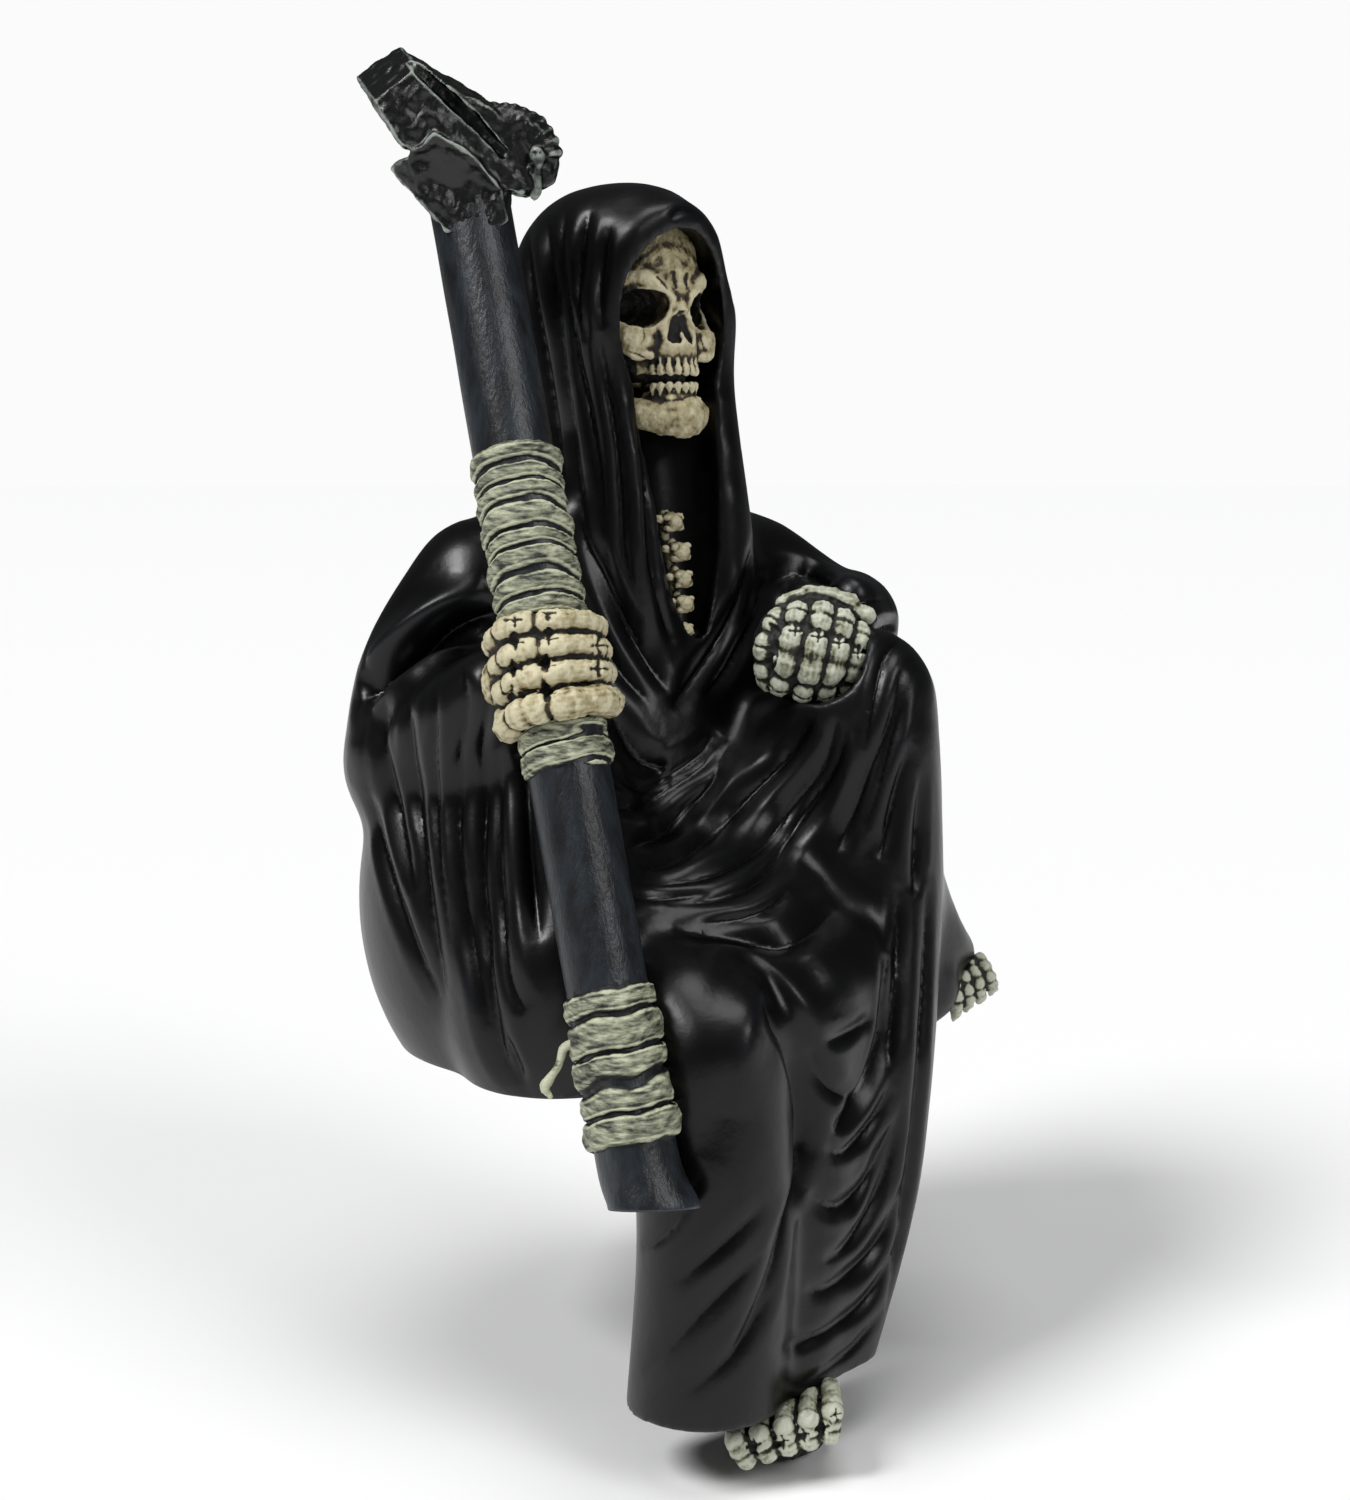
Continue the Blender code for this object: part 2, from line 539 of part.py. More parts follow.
def scythe(clay):
    """The round shaft with its flared foot, its bound wraps and its head."""
    foot, axis, side, front = shaft_frame()
    radius = SHAFT_DIAMETER / 2
    top = place(SHAFT_TOP)
    rod(clay, foot, top, radius, radius * 0.97, 40)
    rod(clay, foot - axis * 2.0 * SHARE, foot + axis * 8.0 * SHARE, radius * 1.16, radius, 40)
    # Wraps: bands stacked along the shaft, each a little fuller at its middle
    for start, end, bands in (
        (11.5, 35.5, LOWER_WRAP_BANDS),
        (66.0, 75.0, GRIP_WRAP_BANDS),
        (86.0, 120.0, UPPER_WRAP_BANDS),
    ):
        pitch = (end - start) / bands
        for i in range(int(round(bands))):
            low = foot + axis * (start + pitch * (i + 0.06)) * SHARE
            high = foot + axis * (start + pitch * (i + 0.94)) * SHARE
            middle = (low + high) / 2
            full = radius + WRAP_THICKNESS + 0.1 * BAND_EDGE_RADIUS * (i % 3)
            rod(clay, low, middle, full - BAND_EDGE_RADIUS / 2, full, 40)
            rod(clay, middle, high, full, full - BAND_EDGE_RADIUS / 2, 40)
    # Collar under the head, then the bar across the top of the shaft
    rod(clay, top - axis * 7.0 * SHARE, top + axis * 1.5 * SHARE, radius, radius * 1.75, 4)
    rod(clay, top + axis * 1.5 * SHARE, top + axis * 3.5 * SHARE, radius * 1.75, radius * 1.7, 4)
    bar, across, rise, hub = head_frame()
    length = HEAD_BAR_LENGTH
    box(clay, hub, (length, HEAD_BAR_THICKNESS, HEAD_BAR_HEIGHT), (bar, across, rise))
    box(clay, top + axis * 5.0 * SHARE, (11.0 * SHARE, HEAD_BAR_THICKNESS, 9.0 * SHARE), (side, across, axis))
    # Curved ridges on the far end's back
    ridge = 1.1 * SHARE
    half = across * HEAD_BAR_THICKNESS * 0.6
    for i in range(CREST_RIDGES):
        turn = math.radians(10 + 22 * i)
        spot = hub - bar * length * 0.28 - bar * math.sin(turn) * length * 0.26
        spot = spot + rise * HEAD_BAR_HEIGHT * 0.56 * math.cos(turn)
        rod(clay, spot - half, spot + half, ridge, ridge, 12)
    # A tiny skull on the front of the far end
    knob = hub - bar * length * 0.36 - across * HEAD_BAR_THICKNESS * 0.5
    ball(clay, knob / SHARE, (2.0, 2.0, 2.2))


def slot_cutter(clay):
    """The long slot cut along the front face of the scythe's head."""
    bar, across, rise, hub = head_frame()
    slot_line = (bar + rise * 0.1).normalized()
    slot_rise = across.cross(slot_line).normalized()
    centre = hub + bar * HEAD_BAR_LENGTH * 0.26 + rise * HEAD_BAR_HEIGHT * 0.12
    centre = centre - across * HEAD_BAR_THICKNESS / 2
    size = (HEAD_BAR_LENGTH * 0.8, BLADE_SLOT_DEPTH * 2, BLADE_SLOT_WIDTH)
    box(clay, centre, size, (slot_line, across, slot_rise))


def resin_material():
    """Gloss black paint over cast resin."""
    paint = bpy.data.materials.new("black_painted_resin")
    paint.use_nodes = True
    shader = paint.node_tree.nodes["Principled BSDF"]
    shader.inputs["Base Color"].default_value = (0.012, 0.012, 0.014, 1.0)
    shader.inputs["Roughness"].default_value = 0.28
    shader.inputs["Metallic"].default_value = 0.0
    return paint


def new_collection(name):
    collection = bpy.data.collections.new(name)
    bpy.context.scene.collection.children.link(collection)
    return collection


def fold_lines(robe):
    """Every fold as a line on the cloth, with its width and depth in shares."""
    tree = BVHTree.FromObject(robe, bpy.context.evaluated_depsgraph_get())
    lines = []
    for groups, width, depth in (
        (HOOD_FOLDS, 1.8, 1.8),
        (CAPE_FOLDS, 2.1, 2.2),
        (SLEEVE_FOLDS, 2.4, 2.7),
        ((ELBOW_CREASE,), 2.8, 4.2),
        (LAP_SWAGS, 2.2, 2.7),
        ((LAP_EDGE,), 2.8, 3.0),
        (KNEE_FOLDS, 2.2, 2.5),
        (SHIN_FOLDS, 2.4, 2.3),
    ):
        for first, last, count in groups:
            for guide in family(first, last, count):
                lines.append((drawn_on(tree, guide), width, depth))
    for first, last, count in BACK_FOLDS:
        for guide in family(first, last, count):
            hits = [tree.ray_cast(place(point), Vector((0.0, -1.0, 0.0)))[0] for point in guide]
            line = np.array([tuple(hit) for hit in hits if hit is not None])
            lines.append((line, 2.6, 2.0))
    return lines


def reduce_triangles(thing, target):
    """Collapses edges until about the target number of triangles is left."""
    thing.data.calc_loop_triangles()
    fewer = thing.modifiers.new("fewer", "DECIMATE")
    fewer.ratio = min(1.0, target / len(thing.data.loop_triangles))
    return apply_modifiers(thing)


def make_robe(collection, cutters):
    clay = []
    robe_masses(clay)
    robe = fuse(mesh_object("robe", clay, collection), BODY_GRAIN, 9)
    fuse(robe, ROBE_GRAIN, 3)
    # The hem is cut off level, a little lower at the back
    below = []
    box(below, place((-15, -5, -68)), tuple(place((120, 90, 40))), HEM_AXES)
    cut(robe, mesh_object("below_hem", below, cutters))
    space = []
    hood_hollow(space)
    hollow = fuse(mesh_object("hood_hollow", space, cutters), ROBE_GRAIN, 4)
    lines = fold_lines(robe)
    carve(robe, lines)
    return cut(robe, hollow)


def make_skull(collection, cutters):
    clay = []
    skull_forms(clay)
    skull = fuse(mesh_object("skull", clay, collection), BONE_GRAIN, 3)
    space = []
    skull_hollows(space)
    return cut(skull, fuse(mesh_object("skull_hollow", space, cutters), BONE_GRAIN, 1))


def shelf_cutter(cutters):
    """The shelf's own space: below the seat and behind the hanging leg."""
    space = []
    reach = 1.2 * FIGURE_HEIGHT
    centre = Vector((0.0, reach / 2, -reach / 2))
    axes = (Vector((1, 0, 0)), Vector((0, 1, 0)), Vector((0, 0, 1)))
    box(space, centre, (reach, reach, reach), axes)
    return mesh_object("shelf_space", space, cutters)


def joined(name, things, collection):
    """One object that holds the meshes of several."""
    mesh = bmesh.new()
    for thing in things:
        mesh.from_mesh(thing.data)
        bpy.data.objects.remove(thing)
    data = bpy.data.meshes.new(name)
    mesh.to_mesh(data)
    mesh.free()
    whole = bpy.data.objects.new(name, data)
    collection.objects.link(whole)
    return whole


def build():
    for thing in list(bpy.data.objects):
        bpy.data.objects.remove(thing)
    parts = new_collection("grim_reaper_figurine")
    cutters = new_collection("cutters")
    robe = make_robe(parts, cutters)
    skull = make_skull(parts, cutters)
    clay = []
    gripping_hand(clay)
    resting_hand(clay)
    feet(clay)
    spine_bones(clay)
    bones = mesh_object("bones", clay, parts)
    clay = []
    scythe(clay)
    staff = mesh_object("staff", clay, parts)
    figurine = joined("figurine", [robe, skull, bones, staff], parts)
    fuse(figurine, CAST_GRAIN, 1)
    slot = []
    slot_cutter(slot)
    reduce_triangles(figurine, SOLID_TRIANGLES)
    cut(figurine, mesh_object("slot_space", slot, cutters))
    cut(figurine, shelf_cutter(cutters))
    figurine.data.transform(Matrix.Translation(-place(SEAT_MIDDLE)))
    figurine.data.materials.clear()
    figurine.data.materials.append(resin_material())
    figurine.data.shade_smooth()
    figurine.data.set_sharp_from_angle(angle=math.radians(50))
    for cutter in cutters.objects:
        cutter.hide_render = True
        cutter.display_type = "WIRE"


build()
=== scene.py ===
import math

import bpy
import numpy as np
from mathutils import Matrix, Vector
from mathutils.bvhtree import BVHTree


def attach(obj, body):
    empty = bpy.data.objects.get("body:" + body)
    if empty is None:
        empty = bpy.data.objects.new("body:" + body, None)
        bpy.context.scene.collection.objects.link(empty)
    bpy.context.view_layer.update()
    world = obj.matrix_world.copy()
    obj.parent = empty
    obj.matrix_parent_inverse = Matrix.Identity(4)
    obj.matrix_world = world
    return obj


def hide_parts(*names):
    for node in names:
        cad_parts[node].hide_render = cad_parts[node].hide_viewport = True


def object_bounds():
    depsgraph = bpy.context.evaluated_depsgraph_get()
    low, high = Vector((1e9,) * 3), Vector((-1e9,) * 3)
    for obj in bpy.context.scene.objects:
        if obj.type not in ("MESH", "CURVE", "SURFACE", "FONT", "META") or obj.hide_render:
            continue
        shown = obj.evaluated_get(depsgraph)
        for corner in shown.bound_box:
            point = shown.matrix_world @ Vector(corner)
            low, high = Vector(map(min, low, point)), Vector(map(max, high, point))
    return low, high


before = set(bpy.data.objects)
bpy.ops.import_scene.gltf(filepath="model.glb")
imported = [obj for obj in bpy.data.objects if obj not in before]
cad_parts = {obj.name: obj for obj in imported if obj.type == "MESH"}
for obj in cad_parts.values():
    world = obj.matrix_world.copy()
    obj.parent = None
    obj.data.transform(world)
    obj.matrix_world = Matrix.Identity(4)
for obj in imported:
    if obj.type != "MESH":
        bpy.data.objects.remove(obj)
cad_low, cad_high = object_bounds()

# Shapes are laid out in millimetres with the shelf's top at z = 0 and its front face at y = 0,
# and are then moved so that the middle of the seat's underside is the origin, in metres
MILLIMETRE = 0.001
SEAT_MIDDLE = np.array([0.0, 40.0, 0.0])

# The camera: turned 40 degrees to the figure's right and a little above it, 360 mm from its target.
# The sheet it draws on is 1350 by 1500, with 6 units to a millimetre at the target.
CAMERA_TURN = math.radians(-40.0)
CAMERA_RISE = math.radians(8.5)
CAMERA_DISTANCE = 360.0
SHEET_SCALE = 6.0
SHEET_MIDDLE = np.array([675.0, 750.0])
CAMERA_TARGET = np.array([-12.07, 20.57, 50.55])

# The shaft's centre line and thickness, and that of the fingers that hold it
SHAFT_FOOT = np.array([-49.0, -17.0, -10.5])
SHAFT_TOP = np.array([-36.8, 42.6, 139.5])
SHAFT_RADIUS = 6.35
FINGER_RADIUS = 1.95

# The left fist: its middle on the sheet, its distance from the eye, its radius, and its width over its height
FIST_ACROSS, FIST_DOWN, FIST_DISTANCE = 810.0, 648.0, 365.0
FIST_RADIUS = 9.0
FIST_WIDENING = 1.14

# Unevenness of each surface: sizes and heights, in millimetres
BONE_ROUGHNESS = ((2.6, 0.09), (1.1, 0.045))
SPINE_ROUGHNESS = ((1.6, 0.1), (0.7, 0.04))
WRAP_ROUGHNESS = ((5.0, 0.1), (2.0, 0.05), (0.9, 0.02))
HEAD_ROUGHNESS = ((7.0, 0.22), (3.0, 0.05), (1.2, 0.012))

# Rounds of averaging for the narrow and the broad hollows: on bone and metal, and on cloth, shaft and wraps
CLOSE_HOLLOWS, WIDE_HOLLOWS = (3, 10), (3, 14)

# The most triangles that each skin keeps
MOST_TRIANGLES = {
    "robe": 195000,
    "skull": 190000,
    "right_hand": 120000,
    "left_hand": 140000,
    "feet": 120000,
    "spine": 60000,
    "scythe_head": 150000,
}

# Camera geometry: right, back towards the eye, and up
CAMERA_RIGHT = np.array([math.cos(CAMERA_TURN), math.sin(CAMERA_TURN), 0.0])
CAMERA_BACK = np.array(
    [
        math.sin(CAMERA_TURN) * math.cos(CAMERA_RISE),
        -math.cos(CAMERA_TURN) * math.cos(CAMERA_RISE),
        math.sin(CAMERA_RISE),
    ]
)
CAMERA_UP = np.cross(CAMERA_BACK, CAMERA_RIGHT)
EYE = CAMERA_TARGET + CAMERA_BACK * CAMERA_DISTANCE


def sight_line(across, down):
    """The direction from the eye to a point of the sheet, long enough to reach 1 mm straight ahead."""
    sideways = (across - SHEET_MIDDLE[0]) / SHEET_SCALE
    upward = (SHEET_MIDDLE[1] - down) / SHEET_SCALE
    return (CAMERA_RIGHT * sideways + CAMERA_UP * upward) / CAMERA_DISTANCE - CAMERA_BACK


def sighted(across, down, distance):
    """The point drawn there on the sheet, at a distance in front of the eye."""
    return EYE + sight_line(across, down) * distance


# Surfaces worked out on grids


def closed_tube(rings):
    """Faces round and between rings of points, with the first and last ring filled in."""
    rows, columns = rings.shape[:2]
    index = np.arange(rows * columns).reshape(rows, columns)
    after = np.roll(index, -1, axis=1)
    quads = np.stack([index[:-1], after[:-1], after[1:], index[1:]], axis=-1).reshape(-1, 4)
    faces = [tuple(index[0][::-1]), tuple(index[-1])]
    return rings.reshape(-1, 3), faces + quads.tolist()


def smooth_line(points, steps=12):
    """Points on a curve through the given points, each span a cubic with matching slopes."""
    points = np.asarray(points, float)
    if len(points) < 3:
        share = np.linspace(0.0, 1.0, steps + 1)[:, None]
        return points[0] * (1 - share) + points[-1] * share
    padded = np.vstack([2 * points[0] - points[1], points, 2 * points[-1] - points[-2]])
    t = np.linspace(0.0, 1.0, steps, endpoint=False)[:, None]
    spans = []
    for a, b, c, d in zip(padded[:-3], padded[1:-2], padded[2:-1], padded[3:]):
        bend = 2 * a - 5 * b + 4 * c - d
        twist = -a + 3 * b - 3 * c + d
        spans.append(0.5 * (2 * b + (c - a) * t + bend * t**2 + twist * t**3))
    return np.vstack(spans + [points[-1:]])


def along_line(start, end, share):
    """The point a share of the way from one point to another."""
    return tuple(a + (b - a) * share for a, b in zip(start, end))


def unit(vectors):
    """The vectors at length 1."""
    return vectors / np.maximum(np.linalg.norm(vectors, axis=-1, keepdims=True), 1e-9)


def limb(clay, points, radii, sides=20, steps=6, curved=True):
    """Circles carried along a path, their radius changing along it, with a half ball at each end."""
    points = np.asarray(points, float)
    radii = np.asarray(radii, float)
    line = np.column_stack([points, radii])
    line = smooth_line(line, steps) if curved and len(points) > 2 else line
    path, radius = line[:, :3], np.maximum(line[:, 3], 0.05)
    tangent = unit(np.gradient(path, axis=0))
    span = path[-1] - path[0]
    guide = np.eye(3)[np.abs(span).argmin()]
    side = unit(guide - tangent * (tangent @ guide)[:, None])
    other = np.cross(tangent, side)
    rise = np.linspace(0.0, np.pi / 2, 6)[1:]
    head = path[0] - tangent[0] * radius[0] * np.sin(rise)[::-1, None]
    tail = path[-1] + tangent[-1] * radius[-1] * np.sin(rise)[:, None]
    centres = np.vstack([head, path, tail])
    sizes = np.concatenate([radius[0] * np.cos(rise)[::-1], radius, radius[-1] * np.cos(rise)])
    sizes = np.maximum(sizes, 0.02)
    sides_at = np.vstack([np.repeat(side[:1], 5, 0), side, np.repeat(side[-1:], 5, 0)])
    others_at = np.vstack([np.repeat(other[:1], 5, 0), other, np.repeat(other[-1:], 5, 0)])
    turn = np.linspace(0.0, 2 * np.pi, sides, endpoint=False)
    circle = sides_at[:, None] * np.cos(turn)[None, :, None]
    circle = circle + others_at[:, None] * np.sin(turn)[None, :, None]
    clay.append(closed_tube(centres[:, None] + circle * sizes[:, None, None]))


def ball(clay, centre, radii, turn=(0.0, 0.0, 0.0), rows=18, columns=28):
    """An ellipsoid: rings of latitude about a centre, turned by degrees about X, Y and Z."""
    latitude = np.linspace(-np.pi / 2, np.pi / 2, rows + 2)[1:-1]
    longitude = np.linspace(0.0, 2 * np.pi, columns, endpoint=False)
    across = np.cos(latitude)[:, None]
    height = np.sin(latitude)[:, None] + 0 * longitude
    points = np.stack([across * np.cos(longitude), across * np.sin(longitude), height], axis=-1)
    spin = Matrix.Rotation(math.radians(turn[2]), 3, "Z")
    spin = spin @ Matrix.Rotation(math.radians(turn[1]), 3, "Y")
    spin = spin @ Matrix.Rotation(math.radians(turn[0]), 3, "X")
    points = (points * np.asarray(radii, float)) @ np.array(spin).T + np.asarray(centre, float)
    clay.append(closed_tube(points))


def loft(clay, sections, columns=44):
    """Level ovals, each x, y, z, half width and half depth, joined by smooth curves."""
    rings = smooth_line(sections, 6)
    turn = np.linspace(0.0, 2 * np.pi, columns, endpoint=False)
    x = rings[:, :1] + rings[:, 3:4] * np.cos(turn)
    y = rings[:, 1:2] + rings[:, 4:5] * np.sin(turn)
    clay.append(closed_tube(np.stack([x, y, rings[:, 2:3] + 0 * turn], axis=-1)))


def block(clay, centre, size, axes, chamfer=0.12):
    """A box with chamfered long edges: an eight-sided section carried along its first axis."""
    half = np.asarray(size, float) / 2
    long, wide, deep = half
    bevel = chamfer * min(wide, deep)
    corners = np.array(
        [
            (wide, deep - bevel), (wide - bevel, deep), (bevel - wide, deep), (-wide, deep - bevel),
            (-wide, bevel - deep), (bevel - wide, -deep), (wide - bevel, -deep), (wide, bevel - deep),
        ]
    )
    along = np.array([-long, bevel - long, long - bevel, long])
    shrink = np.array([1 - bevel / wide, 1.0, 1.0, 1 - bevel / wide])
    section = corners[None] * shrink[:, None, None]
    axes = np.asarray([tuple(a) for a in axes], float)
    rings = along[:, None, None] * axes[0] + section[..., :1] * axes[1] + section[..., 1:] * axes[2]
    clay.append(closed_tube(rings + np.asarray(centre, float)))


# Skins


def object_of(name, clay):
    """All the shells, each a list of points and faces, as one mesh object."""
    points, faces, count = [], [], 0
    for shell_points, shell_faces in clay:
        points.append(shell_points)
        faces.extend(tuple(i + count for i in face) for face in shell_faces)
        count += len(shell_points)
    data = bpy.data.meshes.new(name)
    data.from_pydata(np.concatenate(points).tolist(), [], faces)
    thing = bpy.data.objects.new(name, data)
    bpy.context.scene.collection.objects.link(thing)
    return thing


def joined(name, things):
    """One object from several."""
    clay = []
    for thing in things:
        faces = [tuple(face.vertices) for face in thing.data.polygons]
        clay.append((positions(thing.data), faces))
        bpy.data.objects.remove(thing)
    return object_of(name, clay)


def apply_modifiers(thing):
    """Makes the modifiers' result the object's own mesh."""
    bpy.context.view_layer.update()
    graph = bpy.context.evaluated_depsgraph_get()
    old = thing.data
    data = bpy.data.meshes.new_from_object(thing.evaluated_get(graph))
    thing.modifiers.clear()
    thing.data = data
    bpy.data.meshes.remove(old)
    return thing


def fuse(thing, grain, rounds):
    """One skin over all shells, on a grid of the given size, with its junctions softened."""
    skin = thing.modifiers.new("one_skin", "REMESH")
    skin.mode = "VOXEL"
    skin.voxel_size = grain
    if rounds:
        soft = thing.modifiers.new("soft", "SMOOTH")
        soft.factor = 0.5
        soft.iterations = rounds
    return apply_modifiers(thing)


def cut(thing, cutter):
    """Takes the cutter's volume away, and removes the cutter."""
    taken = thing.modifiers.new("cut", "BOOLEAN")
    taken.operation = "DIFFERENCE"
    taken.solver = "EXACT"
    taken.object = cutter
    apply_modifiers(thing)
    bpy.data.objects.remove(cutter)
    return thing


def thin_out(thing, target):
    """Fewer triangles, where there are more than the target."""
    thing.data.calc_loop_triangles()
    count = len(thing.data.loop_triangles)
    if count > target:
        fewer = thing.modifiers.new("fewer", "DECIMATE")
        fewer.ratio = target / count
        apply_modifiers(thing)
    return thing


def positions(data):
    """The vertices' places, one row each."""
    values = np.empty(len(data.vertices) * 3, np.float32)
    data.vertices.foreach_get("co", values)
    return values.reshape(-1, 3).astype(float)


def normals(data):
    """The directions in which the skin faces at its vertices."""
    values = np.empty(len(data.vertices) * 3, np.float32)
    data.vertex_normals.foreach_get("vector", values)
    return values.reshape(-1, 3).astype(float)


def set_positions(data, points):
    """Puts the vertices in new places."""
    data.vertices.foreach_set("co", points.astype(np.float32).ravel())
    data.update()


def edge_ends(data):
    """The two vertices of each edge."""
    values = np.empty(len(data.edges) * 2, np.int32)
    data.edges.foreach_get("vertices", values)
    return values.reshape(-1, 2)


def averaged(values, ends, rounds):
    """Each vertex's value moved towards the mean of its neighbours', several times over."""
    count = len(values)
    a, b = ends[:, 0], ends[:, 1]
    share = np.maximum(np.bincount(a, minlength=count) + np.bincount(b, minlength=count), 1)
    values = values.reshape(count, -1).copy()
    for _ in range(rounds):
        for k in range(values.shape[1]):
            column = values[:, k]
            total = np.bincount(a, column[b], count) + np.bincount(b, column[a], count)
            values[:, k] = 0.4 * column + 0.6 * total / share
    return values


# How strongly the narrow and the broad hollows show in the paint, where they are darkened with wash and
# painted shade
FINE_GAIN, BROAD_GAIN = 1.6, 0.55


def mark_hollows(data, fine, broad):
    """Stores how far the smoothed skin lies outside the skin: below 0.5 in hollows, above it on crests."""
    points, facing, ends = positions(data), normals(data), edge_ends(data)
    lengths = np.linalg.norm(points[ends[:, 0]] - points[ends[:, 1]], axis=1)
    step = np.median(lengths)
    near = averaged(points, ends, fine)
    far = averaged(near, ends, broad)
    small = ((near - points) * facing).sum(axis=1) / step
    large = ((far - points) * facing).sum(axis=1) / step
    for name, value in (("hollow_fine", 0.5 - small * FINE_GAIN), ("hollow_broad", 0.5 - large * BROAD_GAIN)):
        layer = data.attributes.new(name, "FLOAT", "POINT")
        layer.data.foreach_set("value", np.clip(value, 0.0, 1.0).astype(np.float32))


def sink_along(points, line, width, depth, sharp):
    """Depth at each point near a line: deepest on it, fading with distance, with a low bank outside.

    The fall is exp(-(d/width)^sharp); the bank is a hump of an eighth of the depth at twice the width. Both
    grow from each end of the line with a power of the sine of the share of the way along it."""
    moved = np.zeros(len(points))
    reach = 3.2 * width
    low, high = line.min(axis=0) - reach, line.max(axis=0) + reach
    near = np.flatnonzero(((points > low) & (points < high)).all(axis=1))
    if len(near) == 0 or len(line) < 2:
        return moved
    start, run = line[:-1], line[1:] - line[:-1]
    length = np.maximum((run**2).sum(axis=1), 1e-9)
    gap = points[near][:, None] - start[None]
    share = np.clip((gap * run).sum(axis=2) / length, 0.0, 1.0)
    distance = np.linalg.norm(gap - share[..., None] * run, axis=2)
    closest = distance.argmin(axis=1)
    rows = np.arange(len(near))
    off = distance[rows, closest] / width
    progress = np.clip((closest + share[rows, closest]) / len(run), 0.01, 0.99)
    taper = np.sin(np.pi * progress) ** 0.65
    fall = np.exp(-(off**sharp)) - 0.12 * np.exp(-((off - 2.0) ** 2) * 1.8)
    moved[near] = depth * fall * taper
    return moved


def drawn_on(tree, points):
    """Points of the sheet dropped along their sight lines onto the skin, their distances evened out."""
    eye = Vector(EYE)
    rays = unit(np.array([sight_line(*point) for point in points]))
    found = [(ray, tree.ray_cast(eye, Vector(ray))[3]) for ray in rays]
    found = [(ray, reach) for ray, reach in found if reach is not None]
    if len(found) < 3:
        return np.zeros((0, 3))
    ways = np.array([ray for ray, reach in found])
    reaches = np.array([reach for ray, reach in found])
    for _ in range(5):
        reaches[1:-1] = 0.5 * reaches[1:-1] + 0.25 * (reaches[:-2] + reaches[2:])
    return EYE + ways * reaches[:, None]


# How far out, in millimetres, lines on the sides not shown start before they are dropped onto the skin
FAR = 200


def dropped_on(tree, points, way):
    """Points in millimetres dropped onto the skin from far out on one side."""
    hits = [tree.ray_cast(Vector(point + way * FAR), Vector(-way))[0] for point in points]
    return np.array([tuple(hit) for hit in hits if hit is not None])


def marks_on(thing, marks, way=None):
    """Lines for carving, with width, depth and sharpness: drawn on the sheet, or dropped from one side."""
    tree = BVHTree.FromObject(thing, bpy.context.evaluated_depsgraph_get())
    if way is None:
        return [(drawn_on(tree, smooth_line(points)), *mark) for points, mark in marks]
    return [(dropped_on(tree, smooth_line(points), way), *mark) for points, mark in marks]


def crosses(spots, *strokes):
    """The same strokes at each spot of the sheet: offsets from it, then width, depth and sharpness."""
    return [
        ([(across + x, down + y) for x, y in stroke], mark)
        for across, down in spots
        for stroke, mark in strokes
    ]


def carve(thing, lines, limit):
    """Sinks or raises the skin along its own normals by all lines together."""
    data = thing.data
    points, facing = positions(data), normals(data)
    sink = np.zeros(len(points))
    for line, width, depth, sharp in lines:
        if len(line) > 1:
            sink += sink_along(points, line, width, depth, sharp)
    sink = limit * np.tanh(sink / limit)
    set_positions(data, points - facing * sink[:, None])


def lumpy(points, size, seed=0.0):
    """An uneven field of about -1 to 1: sines along eight skew directions, each bent by the one before it."""
    count = np.arange(1, 9)[:, None]
    ways = unit(np.sin(count * np.array([12.9898, 78.233, 37.719]) + seed))
    order = np.arange(8)
    phase = points @ ways.T * (2 * np.pi / size) * (0.6 + 0.14 * order) + seed * order
    return np.sin(phase + 1.9 * np.sin(np.roll(phase, 1, axis=1))).sum(axis=1) / 2.8


def roughened(thing, size, height, seed=0.0):
    """Moves the skin in and out by an uneven field."""
    points = positions(thing.data)
    set_positions(thing.data, points + normals(thing.data) * (height * lumpy(points, size, seed))[:, None])


def mark_washed_and_shaded_places(data, washed_and_shaded_places):
    """Where the washes and painted shade lie: 1 inside any of the ellipsoids and 0 outside, or ready values.
    """
    points = positions(data)
    ready = isinstance(washed_and_shaded_places, np.ndarray)
    value = washed_and_shaded_places if ready else np.zeros(len(points))
    for centre, radii in () if ready else washed_and_shaded_places:
        off = np.linalg.norm((points - np.asarray(centre, float)) / np.asarray(radii, float), axis=1)
        value = np.maximum(value, np.clip((1.12 - off) / 0.3, 0.0, 1.0))
    data.attributes.new("washed_and_shaded", "FLOAT", "POINT").data.foreach_set("value", value.astype(np.float32))


def finished(thing, finish, hollows, washed_and_shaded_places=(), rough=()):
    """Thins, marks and roughens the piece, moves it into the frame, and gives it its finish and its body."""
    if thing.name in MOST_TRIANGLES:
        thin_out(thing, MOST_TRIANGLES[thing.name])
    data = thing.data
    mark_hollows(data, *hollows)
    mark_washed_and_shaded_places(data, washed_and_shaded_places)
    for size, height in rough:
        roughened(thing, size, height, size)
    set_positions(data, (positions(data) - SEAT_MIDDLE) * MILLIMETRE)
    data.materials.clear()
    data.materials.append(finish)
    data.shade_smooth()
    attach(thing, "root")
    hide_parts("figurine")
    return thing


# Finishes


def linear(code):
    """An sRGB hex colour as linear values with full cover."""
    parts = [int(code[i : i + 2], 16) / 255 for i in (1, 3, 5)]
    return tuple(c / 12.92 if c <= 0.04045 else ((c + 0.055) / 1.055) ** 2.4 for c in parts) + (1.0,)


